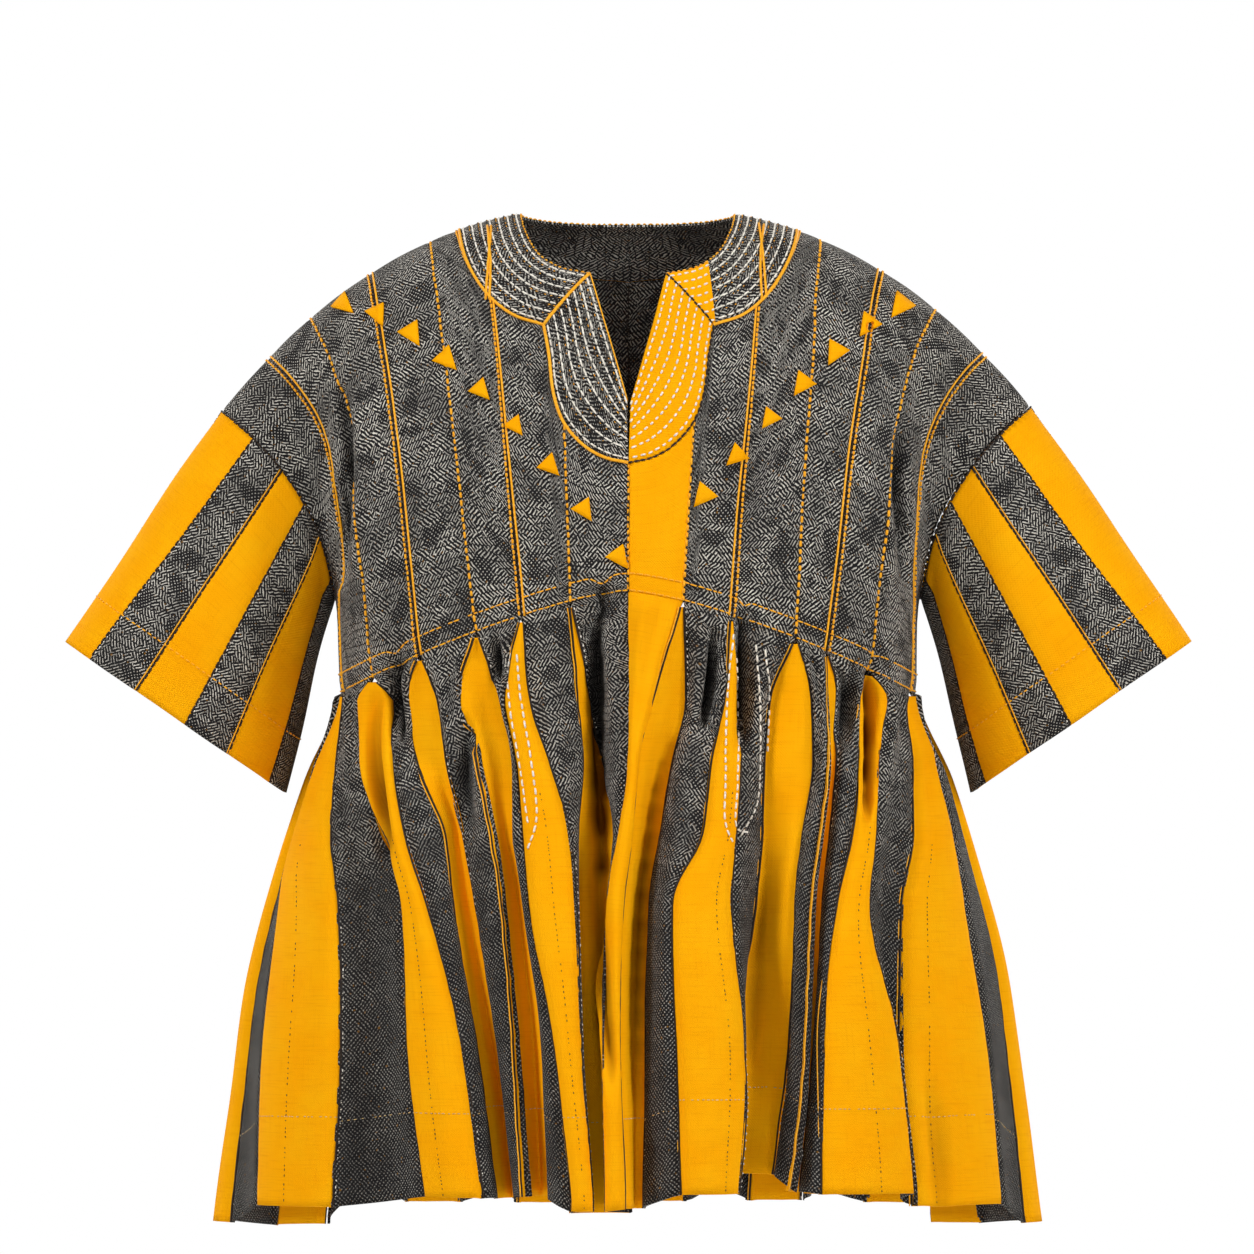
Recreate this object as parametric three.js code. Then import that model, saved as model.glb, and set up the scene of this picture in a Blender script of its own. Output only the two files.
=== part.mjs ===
// Fugu smock: a wide hand-woven strip smock with an embroidered neck band,
// dropped elbow sleeves and a flared skirt of grey strips and orange gores.
// Millimetres, +Z up, the front faces -Y. The origin is the level of the side
// neck points on the centre plane, where the wearer's shoulders hold the smock.
import * as THREE from 'three';

const WALL = 2;          // cloth with its seams
const GAP = 0.3;         // clear gap between two sewn pieces
const PROFILE = 2.2;     // roundness of the shoulder-to-chest profile
const PIT_Q = 0.808;     // where the armhole ends on the side edge

const GREY = 0x5d5b59;
const ORANGE = 0xf6ac05;

// ---------------------------------------------------------------- helpers
const lerp = (a, b, t) => a + (b - a) * t;
const clamp = (x, a, b) => Math.min(b, Math.max(a, x));

// shape-keeping cubic through (xs, ys)
function curve(xs, ys) {
  const n = xs.length, h = [], d = [], m = [];
  for (let i = 0; i < n - 1; i++) { h.push(xs[i + 1] - xs[i]); d.push((ys[i + 1] - ys[i]) / h[i]); }
  m[0] = d[0]; m[n - 1] = d[n - 2];
  for (let i = 1; i < n - 1; i++) {
    if (d[i - 1] * d[i] <= 0) m[i] = 0;
    else {
      const w1 = 2 * h[i] + h[i - 1], w2 = h[i] + 2 * h[i - 1];
      m[i] = (w1 + w2) / (w1 / d[i - 1] + w2 / d[i]);
    }
  }
  return x => {
    if (x <= xs[0]) return ys[0];
    if (x >= xs[n - 1]) return ys[n - 1];
    let i = 0;
    while (x > xs[i + 1]) i++;
    const t = (x - xs[i]) / h[i], t2 = t * t, t3 = t2 * t;
    return ys[i] * (2 * t3 - 3 * t2 + 1) + h[i] * m[i] * (t3 - 2 * t2 + t)
      + ys[i + 1] * (3 * t2 - 2 * t3) + h[i] * m[i + 1] * (t3 - t2);
  };
}

// ---------------------------------------------------------------- body rings
// drop below the origin, half width, half depth in front, half depth behind, squareness
const RINGS = [
  { drop: 300, wide: 243, front: 152, back: 146, square: 2.7 },
  { drop: 410, wide: 244, front: 160, back: 158, square: 2.7 },
  { drop: 487, wide: 272, front: 180, back: 182, square: 2.5 },
  { drop: 562, wide: 294, front: 200, back: 204, square: 2.35 },
  { drop: 661, wide: 318, front: 224, back: 228, square: 2.25 },
  { drop: 761, wide: 330, front: 240, back: 244, square: 2.15 },
  { drop: 862, wide: 342, front: 252, back: 257, square: 2.1 },
];
const drops = RINGS.map(r => r.drop);
const ringWide = curve(drops, RINGS.map(r => r.wide));
const ringFront = curve(drops, RINGS.map(r => r.front));
const ringBack = curve(drops, RINGS.map(r => r.back));
const ringSquare = curve(drops, RINGS.map(r => r.square));

const rings = new Map();
// one quarter of the ring at height z: points and girth from the centre (0) to the side (1)
function quarter(z, back) {
  const key = `${z.toFixed(2)}${back}`;
  if (rings.has(key)) return rings.get(key);
  const a = ringWide(-z), b = back ? ringBack(-z) : ringFront(-z), n = ringSquare(-z);
  const N = 80, xs = [], ys = [], ls = [0];
  for (let i = 0; i <= N; i++) {
    const t = i / N * Math.PI / 2;
    xs.push(a * Math.sin(t) ** (2 / n));
    ys.push((back ? b : -b) * Math.max(0, Math.cos(t)) ** (2 / n));
    if (i) ls.push(ls[i - 1] + Math.hypot(xs[i] - xs[i - 1], ys[i] - ys[i - 1]));
  }
  ys[N] = 0;
  const q = { xs, ys, fs: ls.map(l => l / ls[N]), girth: ls[N] };
  rings.set(key, q);
  return q;
}
function lookup(from, to, v) {
  let lo = 0, hi = from.length - 1;
  if (v <= from[0]) return to[0];
  if (v >= from[hi]) return to[hi];
  while (hi - lo > 1) { const mid = (lo + hi) >> 1; if (from[mid] <= v) lo = mid; else hi = mid; }
  return lerp(to[lo], to[hi], (v - from[lo]) / (from[hi] - from[lo]));
}
// share of the quarter girth at half-distance x from the centre plane
const shareAt = (z, back, x) => { const q = quarter(z, back); return lookup(q.xs, q.fs, Math.abs(x)); };
// point on the ring, moved out by `out`
function onRing(z, back, side, share, out) {
  const q = quarter(z, back);
  const x = lookup(q.fs, q.xs, share), y = lookup(q.fs, q.ys, share);
  const e = 0.012;
  const dx = lookup(q.fs, q.xs, share + e) - lookup(q.fs, q.xs, share - e);
  const dy = lookup(q.fs, q.ys, share + e) - lookup(q.fs, q.ys, share - e);
  const l = Math.hypot(dx, dy) || 1;
  const nx = (back ? 1 : 1) * Math.abs(dy) / l, ny = (back ? 1 : -1) * Math.abs(dx) / l;
  return new THREE.Vector3(side * (x + nx * out), y + ny * out, z);
}

// ---------------------------------------------------------------- shoulders and chest
const ridgeZ = x => -173 * (Math.abs(x) / 345) ** 2.44;
const yokeZ = x => -327 - 86 * (Math.abs(x) / 243) ** 1.4;

// seam columns: distance from the centre plane on the shoulder ridge and
// girth from the centre at the gathered yoke line, in front and behind
const SEAMS = {
  left: { ridge: [0, 60, 121, 168, 219, 270, 306, 345], front: [0, 49, 90, 128, 179, 229, 292, 333], back: [0, 48, 94, 140, 186, 232, 290, 333] },
  right: { ridge: [0, 66, 116, 163, 214, 261, 303, 342], front: [0, 46, 88, 142, 170, 214, 287, 333], back: [0, 48, 93, 139, 187, 231, 288, 333] },
};
const ks = [0, 1, 2, 3, 4, 5, 6, 7];
// how the columns run in from the ridge: share of the quick first part and its power
const runIn = curve(ks, [0, 0, 0, 0, 0.1, 0.5, 0.88, 0.95]);
const runPower = curve(ks, [5, 5, 5, 5, 5, 5, 6, 3.2]);
const armBulge = curve(ks, [0, 0, 0, 0, 8, 26, 46, 58]);
const bulgeRound = curve(ks, [1, 1, 1, 1, 1, 0.9, 0.68, 0.5]);

const sides = {};
for (const name of ['left', 'right']) {
  const s = SEAMS[name];
  const make = girths => {
    const q0 = quarter(-360, girths === s.back);
    const shares = girths.map(g => g / 333);
    return { share: curve(ks, shares), q0 };
  };
  sides[name] = { sign: name === 'left' ? -1 : 1, ridge: curve(ks, s.ridge), front: make(s.front), back: make(s.back) };
}

// yoke point of a seam column
function yokePoint(side, k, back) {
  const sd = sides[side], share = (back ? sd.back : sd.front).share(k);
  let z = -360;
  for (let i = 0; i < 4; i++) z = yokeZ(lookup(quarter(-360, back).fs, quarter(-360, back).xs, share));
  const q = quarter(z, back);
  return { x: lookup(q.fs, q.xs, share), y: lookup(q.fs, q.ys, share), z, share };
}
const yokes = new Map();
function yoke(side, k, back) {
  const key = `${side}${k.toFixed(5)}${back}`;
  if (!yokes.has(key)) yokes.set(key, yokePoint(side, k, back));
  return yokes.get(key);
}
const fallOf = q => 1 - Math.max(0, Math.cos(Math.abs(q) * Math.PI / 2)) ** (2 / PROFILE);
function columnX(side, k, q) {
  const y = yoke(side, k, q > 0), s = fallOf(q), w = runIn(k);
  const run = (1 - w) * (1 - s) + w * (1 - s) ** runPower(k);
  return y.x + (sides[side].ridge(k) - y.x) * run;
}
// body cloth: k counts seam columns out from the centre, q runs from the front
// yoke (-1) over the shoulder (0) to the back yoke (1)
function body(side, k, q) {
  const back = q > 0, y = yoke(side, k, back), s = fallOf(q);
  const zr = ridgeZ(sides[side].ridge(k));
  const E = Math.sin(Math.abs(q) * Math.PI / 2) ** (2 / PROFILE);
  const end = lerp(1, 0.668, clamp((k - 4) / 3, 0, 1));
  const bulge = armBulge(k) * Math.sin(Math.PI * clamp(s / end, 0, 1)) ** bulgeRound(k) * (back ? 1 : -1);
  return new THREE.Vector3(
    sides[side].sign * columnX(side, k, q),
    y.y * E + bulge,
    zr - (zr - y.z) * s);
}
function bodyNormal(side, k, q) {
  const e = 0.02;
  const dk = body(side, clamp(k + e, 0, 7), q).sub(body(side, clamp(k - e, 0, 7), q));
  const q1 = clamp(q + e, -1, 1), q2 = clamp(q - e, -1, 1);
  const dq = body(side, k, q1).sub(body(side, k, q2));
  const n = dk.cross(dq).normalize();
  return side === 'left' ? n.negate() : n;
}
// seam column that holds half-distance x at q
function columnAt(side, x, q) {
  let lo = 0, hi = 6.5;
  for (let i = 0; i < 40; i++) { const mid = (lo + hi) / 2; if (columnX(side, mid, q) < x) lo = mid; else hi = mid; }
  return (lo + hi) / 2;
}
// q of the front point at half-distance x and height z
function frontQ(side, x, z) {
  let lo = 0, hi = 1;
  for (let i = 0; i < 40; i++) {
    const mid = (lo + hi) / 2;
    if (body(side, columnAt(side, x, -mid), -mid).z > z) lo = mid; else hi = mid;
  }
  return -(lo + hi) / 2;
}

// ---------------------------------------------------------------- neck band outline
const NECK_IN_FRONT = [[32, -58], [58, -52], [75, -41], [86, -23]];
const NECK_OUT_FRONT = [[72, -102], [98, -93], [120, -74], [137, -45]];
const NECK_IN_BACK = [[91, 0], [88, 0.08], [70, 0.148], [38, 0.19], [0, 0.2]];
const NECK_OUT_BACK = [[143, 0], [137, 0.14], [110, 0.28], [60, 0.385], [0, 0.42]];
const SLIT = [[32, -58], [22, -94], [11.5, -130], [1.6, -166]];
const PLACKET_OUT = [[72, -102], [67.5, -128], [63.5, -160], [55, -184], [38, -204], [19, -215], [0, -219]];

// The band's outer edge is met by the strips, so both use the same points:
// the strips' own columns, and the mitre where collar and placket join.
const STRIP_SEGS = 3, GORE_SEGS = 4;
const MITRE = NECK_OUT_FRONT[0];
const flat = ([x, q]) => new THREE.Vector3(x, q * 300, 0);
function outline(points, count) {
  const c = new THREE.CatmullRomCurve3(points.map(flat), false, 'centripetal');
  return c.getSpacedPoints(count).map(p => [p.x, p.y / 300]);
}
// points of an outline at the given shares of its length
function atShares(points, shares) {
  const c = new THREE.CatmullRomCurve3(points.map(flat), false, 'centripetal');
  return shares.map(u => { const p = c.getPointAt(clamp(u, 0, 1)); return [p.x, p.y / 300]; });
}
const bands = {};
for (const side of ['left', 'right']) {
  const asQ = list => list.map(([x, z]) => [x, frontQ(side, x, z)]);
  const collarOut = [...asQ(NECK_OUT_FRONT), ...NECK_OUT_BACK];
  const placketOut = asQ(PLACKET_OUT);
  const dense = outline(collarOut, 160), denseP = outline(placketOut, 120);
  // half width of the band against |q|, in front and behind
  const front = [[0, 143], ...dense.filter(p => p[1] < 0).reverse().map(p => [-p[1], p[0]]), ...denseP.slice(1).map(p => [-p[1], p[0]])];
  const behind = [[0, 143], ...dense.filter(p => p[1] > 0).map(p => [p[1], p[0]])];
  const half = (q, back) => { const t = back ? behind : front; return lookup(t.map(p => p[0]), t.map(p => p[1]), Math.abs(q)); };
  bands[side] = { half, last: [front[front.length - 1][0], behind[behind.length - 1][0]] };
}
// q where seam column k leaves the neck band (0 where it never meets it)
const edgeCache = new Map();
function bandEdge(side, k, back) {
  const key = `${side}${k.toFixed(5)}${back}`;
  if (edgeCache.has(key)) return edgeCache.get(key);
  const b = bands[side], s = back ? 1 : -1;
  const inside = q => columnX(side, k, s * q) < b.half(q, back);
  let lo = 0, hi = b.last[back ? 1 : 0];
  if (inside(1e-6)) for (let i = 0; i < 44; i++) { const mid = (lo + hi) / 2; if (inside(mid)) lo = mid; else hi = mid; }
  const out = inside(1e-6) ? s * (lo + hi) / 2 : 0;
  edgeCache.set(key, out);
  return out;
}
const TOP_STEPS = [0, 0.38, 0.72];   // strip 3's upper rows along the band, as shares of its q
for (const side of ['left', 'right']) {
  const b = bands[side], asQ = list => list.map(([x, z]) => [x, frontQ(side, x, z)]);
  const mitre = asQ([MITRE])[0];
  b.mitreK = columnAt(side, mitre[0], mitre[1]);
  b.columns = {
    front: [[0, 0.2, 0.4, 0.6, 0.8, 1], [1, b.mitreK, (b.mitreK + 2) / 2, 2]],
    back: [[0, 1 / 3, 2 / 3, 1], [1, 4 / 3, 5 / 3, 2]],
  };
  const at = (k, back) => { const q = bandEdge(side, k, back); return [columnX(side, k, q), q]; };
  const upper = back => TOP_STEPS.map(f => { const q = bandEdge(side, 2, back) * f; return [f ? b.half(q, back) : 143, q]; });
  b.collarOut = [at(b.mitreK, false), at(b.columns.front[1][2], false), at(2, false), ...upper(false).reverse(),
    ...upper(true).slice(1), at(2, true), at(5 / 3, true), at(4 / 3, true), at(1, true), at(2 / 3, true), at(1 / 3, true), at(0, true)];
  b.placketOut = [at(b.mitreK, false), ...[1, 0.8, 0.6, 0.4, 0.2, 0].map(k => at(k, false))];
  const shares = list => {
    const l = [0];
    for (let i = 1; i < list.length; i++) l.push(l[i - 1] + Math.hypot(list[i][0] - list[i - 1][0], (list[i][1] - list[i - 1][1]) * 300));
    return l.map(v => v / l[l.length - 1]);
  };
  b.collarIn = atShares([...asQ(NECK_IN_FRONT), ...NECK_IN_BACK], shares(b.collarOut));
  b.slit = atShares(asQ(SLIT), shares(b.placketOut));
}

// ---------------------------------------------------------------- skirt tables
// Each gore opens in a strip seam below the yoke. Columns: the half-distance of
// its two edges from the centre plane at six drops, the hem drop, how far each
// edge stands in from the ring at the hem, and how far the gore itself bows
// there. Distances are along X, so left gores are negative.
const LEVELS = [419, 470, 530, 589, 708, 836];
const FRONT_GORES = [
  { side: 'left', k: 6, left: [-246, -264, -285, -297, -310, -316], right: [-243, -252, -255, -248, -245, -252], inLeft: 0, inRight: 2, bow: 7, hem: 846 },
  { side: 'left', k: 5, left: [-232, -233, -217, -198, -193, -178], right: [-203, -201, -190, -171, -140, -122], inLeft: 12, inRight: 5, bow: 13, hem: 837 },
  { side: 'left', k: 4, left: [-193, -182, -156, -150, -130, -113], right: [-167, -162, -150, -141, -123, -107], inLeft: 34, inRight: 44, bow: -20, hem: 838 },
  { side: 'left', k: 3, left: [-143, -126, -113, -104, -94, -86], right: [-112, -101, -103, -93, -79, -75], inLeft: 9, inRight: 26, bow: -24, hem: 836 },
  { side: 'left', k: 2, left: [-106, -97, -91, -86, -65, -51], right: [-82, -66, -48, -41, -37, -27], inLeft: 0, inRight: 2, bow: 12, hem: 848 },
  { side: 'left', k: 1, left: [-40, -36, -40, -43, -46, -48], right: [-33, -28, -16, -10, -6, -2], inLeft: 40, inRight: 46, bow: -8, hem: 850 },
  { side: 'right', k: 1, left: [25, 12, 8, 1, -3, 2], right: [48, 35, 24, 15, 11, 8], inLeft: 3, inRight: 34, bow: -16, hem: 846 },
  { side: 'right', k: 2, left: [80, 70, 62, 36, 39, 43], right: [97, 98, 94, 89, 103, 97], inLeft: 2, inRight: 2, bow: 11, hem: 834 },
  { side: 'right', k: 3, left: [124, 121, 121, 119, 101, 84], right: [157, 159, 150, 143, 141, 124], inLeft: 46, inRight: 28, bow: -8, hem: 817 },
  { side: 'right', k: 4, left: [171, 173, 168, 161, 156, 143], right: [181, 178, 173, 167, 162, 150], inLeft: 6, inRight: 30, bow: -20, hem: 832 },
  { side: 'right', k: 5, left: [200, 197, 190, 177, 163, 164], right: [221, 213, 212, 207, 232, 245], inLeft: 2, inRight: 1, bow: 9, hem: 834 },
  { side: 'right', k: 6, left: [240, 250, 250, 239, 238, 251], right: [248, 262, 277, 287, 306, 319], inLeft: 16, inRight: 0, bow: 5, hem: 845 },
];
// behind, the same gores fall in plainer pleats. Columns: middle and width of
// the gore at the hem, how far its edges stand in, its bow and the hem drop.
const BACK_GORES = [
  { side: 'left', k: 6, at: 284, width: 40, inNear: 3, inFar: 0, bow: 8, hem: 868 },
  { side: 'left', k: 5, at: 224, width: 34, inNear: 24, inFar: 14, bow: -16, hem: 843 },
  { side: 'left', k: 4, at: 168, width: 52, inNear: 3, inFar: 2, bow: 11, hem: 850 },
  { side: 'left', k: 3, at: 116, width: 22, inNear: 26, inFar: 30, bow: -20, hem: 842 },
  { side: 'left', k: 2, at: 76, width: 44, inNear: 2, inFar: 4, bow: 12, hem: 851 },
  { side: 'left', k: 1, at: 30, width: 20, inNear: 26, inFar: 22, bow: -22, hem: 843 },
  { side: 'right', k: 1, at: 34, width: 38, inNear: 4, inFar: 2, bow: 12, hem: 850 },
  { side: 'right', k: 2, at: 82, width: 22, inNear: 30, inFar: 24, bow: -20, hem: 842 },
  { side: 'right', k: 3, at: 128, width: 48, inNear: 2, inFar: 3, bow: 11, hem: 849 },
  { side: 'right', k: 4, at: 178, width: 24, inNear: 24, inFar: 28, bow: -18, hem: 843 },
  { side: 'right', k: 5, at: 232, width: 54, inNear: 2, inFar: 1, bow: 10, hem: 850 },
  { side: 'right', k: 6, at: 290, width: 34, inNear: 12, inFar: 4, bow: -8, hem: 866 },
];
// bows of the grey strips at the hem, out from the centre (the first right one
// in front is the orange centre strip), and the hem drop at the side seam
const STRIP_BOWS = {
  leftFront: [-6, -4, 3, 4, 3, -20, -6], rightFront: [11, 3, -6, 3, 5, -20, -6],
  leftBack: [5, -4, 5, -4, -5, 4, -5], rightBack: [-5, -4, 5, 5, -4, 4, -5],
};
const SIDE = { hem: 862, front: 0.062, back: 0.075, bow: 10 };   // the gore under each arm
const CENTRE_HEM = { front: 848, back: 847 };

// edge curves of the strips and gores: for drop d and share t of the way to the hem
function goreEdges(g, back) {
  const y = yoke(g.side, g.k, back), sgn = sides[g.side].sign;
  if (!back) {
    const ds = [-y.z, ...LEVELS.filter(l => l > -y.z + 4)], skip = LEVELS.length - (ds.length - 1);
    const near = (g.side === 'left' ? g.right : g.left).slice(skip).map(v => v * sgn);
    const far = (g.side === 'left' ? g.left : g.right).slice(skip).map(v => v * sgn);
    return {
      near: curve(ds, [y.x, ...near]), far: curve(ds, [y.x, ...far]),
      inNear: g.side === 'left' ? g.inRight : g.inLeft, inFar: g.side === 'left' ? g.inLeft : g.inRight,
      bow: g.bow, hem: g.hem,
    };
  }
  const at = d => clamp((d + y.z) / (g.hem + y.z), 0, 1);
  const mid = d => lerp(y.x, g.at, at(d) ** 0.95);
  const half = d => g.width / 2 * at(d) ** 0.55;
  return { near: d => mid(d) - half(d), far: d => mid(d) + half(d), inNear: g.inNear, inFar: g.inFar, bow: g.bow, hem: g.hem };
}
const gores = { leftFront: {}, rightFront: {}, leftBack: {}, rightBack: {} };
for (const g of FRONT_GORES) gores[`${g.side}Front`][g.k] = goreEdges(g, false);
for (const g of BACK_GORES) gores[`${g.side}Back`][g.k] = goreEdges(g, true);

// the centre front strip's left edge is the centre seam, which swings left
const centreSwing = curve([327, 470, 530, 589, 708, 836], [0, -3, -12, -21, -26, -24]);

// skirt edge: k, which side of its gore, and t from the yoke (0) to the hem (1)
const opening = t => t ** 0.6;
const TIP = 0.7;         // half width of a gore's blunt tip
function skirtEdge(side, back, k, part, t) {
  const set = gores[`${side}${back ? 'Back' : 'Front'}`];
  const y = yoke(side, k, back);
  if (k === 0) {
    const hem = back ? CENTRE_HEM.back : CENTRE_HEM.front, d = lerp(-y.z, hem, t);
    return { drop: d, x: back ? 0 : centreSwing(d) * sides[side].sign, into: back ? 0 : 3 * opening(t) };
  }
  if (k === 7) return { drop: lerp(-y.z, SIDE.hem, t), share: 1 - sideOpen(t, back), into: 0 };
  const g = set[k], d = lerp(-y.z, g.hem, t);
  const tip = TIP * clamp(t / 0.007, 0, 1) * (part === 'near' ? -1 : 1);
  return { drop: d, x: g[part](d) + tip, most: k === 6 ? (part === 'near' ? 0.905 : 0.93) : 1, into: (part === 'near' ? g.inNear : g.inFar) * opening(t) };
}
// half opening of the side gore as a share of a quarter of the ring
const sideOpen = (t, back) => (back ? SIDE.back : SIDE.front) * t ** 0.5 + TIP / 333 * clamp(t / 0.007, 0, 1);
// a point of the skirt cloth between two edges; f runs from edge a to edge b
function between(side, back, a, b, bow, t, f) {
  const share = e => {
    if (e.share !== undefined) return e.share;
    const s = Math.min(shareAt(-e.drop, back, e.x), e.most ?? 1);
    return e.x < 0 ? -s : s;
  };
  const d = lerp(a.drop, b.drop, f), s = lerp(share(a), share(b), f);
  const out = -lerp(a.into, b.into, f) + bow * opening(t) * 4 * f * (1 - f);
  if (s > 1) return onRing(-d, !back, sides[side].sign, 2 - s, out);
  return onRing(-d, back, sides[side].sign * (s < 0 ? -1 : 1), Math.abs(s), out);
}

// ---------------------------------------------------------------- grids
const ROWS = [0, 0.04, 0.09, 0.15, 0.24, 0.35, 0.48, 0.63, PIT_Q, 1];
const TOP = TOP_STEPS.length;                  // first row of the strips that stop at the band
const FALLS = [0, 0.007, 0.05, 0.11, 0.19, 0.29, 0.43, 0.6, 0.8, 1];

// q of row j on seam column k
function rowQ(side, k, j, back) {
  const s = back ? 1 : -1;
  if (k >= 3) return s * ROWS[j];
  const q0 = Math.abs(bandEdge(side, k, back));
  return s * (q0 + (1 - q0) * (ROWS[j] - ROWS[TOP]) / (1 - ROWS[TOP]));
}
// columns of the strip between seams k and k+1
function stripColumns(side, k, back) {
  if (k < 2) return bands[side].columns[back ? 'back' : 'front'][k];
  return Array.from({ length: STRIP_SEGS + 1 }, (_, i) => k + i / STRIP_SEGS);
}
// the bodice part of a strip: rows of {p, n}, top row first
function bodiceRows(side, k, back) {
  const rows = [], cols = stripColumns(side, k, back);
  for (let j = k < 2 ? TOP : 0; j < ROWS.length; j++) {
    const row = [];
    let k0 = k, q0;
    if (k === 2 && j < TOP) {
      q0 = bandEdge(side, 2, back) * TOP_STEPS[j];
      k0 = columnAt(side, j ? bands[side].half(q0, back) : 143, q0);
    } else q0 = rowQ(side, k, j, back);
    const q1 = rowQ(side, k + 1, j, back);
    for (const c of cols) {
      const f = c - k, kk = lerp(k0, k + 1, f);
      const qq = k < 2 ? rowQ(side, kk, j, back) : lerp(q0, q1, f);
      row.push({ p: body(side, kk, qq), n: bodyNormal(side, kk, qq === 0 ? 1e-6 : qq) });
    }
    rows.push(row);
  }
  return rows;
}

// every skirt piece in order round the body, seen from the front centre to the
// right side, round the back and home
const order = [];
for (let k = 0; k < 7; k++) {
  if (k) order.push({ kind: 'gore', side: 'right', back: false, k });
  order.push({ kind: 'strip', side: 'right', back: false, k });
}
order.push({ kind: 'side', side: 'right', back: false, k: 7 });
for (let k = 6; k >= 0; k--) {
  order.push({ kind: 'strip', side: 'right', back: true, k, reverse: true });
  if (k) order.push({ kind: 'gore', side: 'right', back: true, k, reverse: true });
}
for (let k = 0; k < 7; k++) {
  if (k) order.push({ kind: 'gore', side: 'left', back: true, k });
  order.push({ kind: 'strip', side: 'left', back: true, k });
}
order.push({ kind: 'side', side: 'left', back: false, k: 7, reverse: true });
for (let k = 6; k >= 0; k--) {
  order.push({ kind: 'strip', side: 'left', back: false, k, reverse: true });
  if (k) order.push({ kind: 'gore', side: 'left', back: false, k, reverse: true });
}
// one row round the whole skirt, then normals from its neighbours
const skirt = FALLS.map(t => {
  const line = [];
  for (const piece of order) {
    const { side, back, k } = piece;
    const steps = piece.kind === 'strip' ? stripColumns(side, k, back).map(c => c - k)
      : Array.from({ length: GORE_SEGS + 1 }, (_, i) => i / GORE_SEGS);
    const segs = steps.length - 1;
    const key = `${side}${back ? 'Back' : 'Front'}`;
    let a, b, bow;
    if (piece.kind === 'strip') {
      a = skirtEdge(side, back, k, 'far', t);
      b = skirtEdge(side, back, k + 1, 'near', t);
      bow = STRIP_BOWS[key][k];
    } else if (piece.kind === 'gore') {
      a = skirtEdge(side, back, k, 'near', t);
      b = skirtEdge(side, back, k, 'far', t);
      bow = gores[key][k].bow;
    } else {
      a = skirtEdge(side, false, 7, 'near', t);
      b = { ...skirtEdge(side, true, 7, 'near', t), share: 1 + sideOpen(t, true) };
      bow = SIDE.bow;
    }
    const pts = [];
    for (const f of steps) pts.push(between(side, back, a, b, bow, t, f));
    if (piece.reverse) pts.reverse();
    piece.from = line.length;
    piece.segs = segs;
    line.push(...pts);
  }
  return line;
});
function skirtNormal(j, c, piece) {
  const row = skirt[j], n = row.length, first = c === piece.from, last = c === piece.from + piece.segs;
  const prev = row[(c - (first ? 2 : 1) + n) % n], next = row[(c + (last ? 2 : 1)) % n];
  const down = skirt[Math.min(j + 1, FALLS.length - 1)][c].clone().sub(skirt[Math.max(j - 1, 0)][c]);
  const before = down.clone().cross(row[c].clone().sub(prev)), after = down.clone().cross(next.clone().sub(row[c]));
  if (before.length() < 1e-6) return after.normalize();
  if (after.length() < 1e-6) return before.normalize();
  return before.normalize().add(after.normalize()).normalize();
}
function skirtRows(piece) {
  const rows = [];
  for (let j = 0; j < FALLS.length; j++) {
    const row = [];
    for (let i = 0; i <= piece.segs; i++) {
      const c = piece.from + i;
      row.push({ p: skirt[j][c].clone(), n: skirtNormal(j, c, piece) });
    }
    rows.push(piece.reverse ? row.reverse() : row);
  }
  return rows;
}

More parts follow.
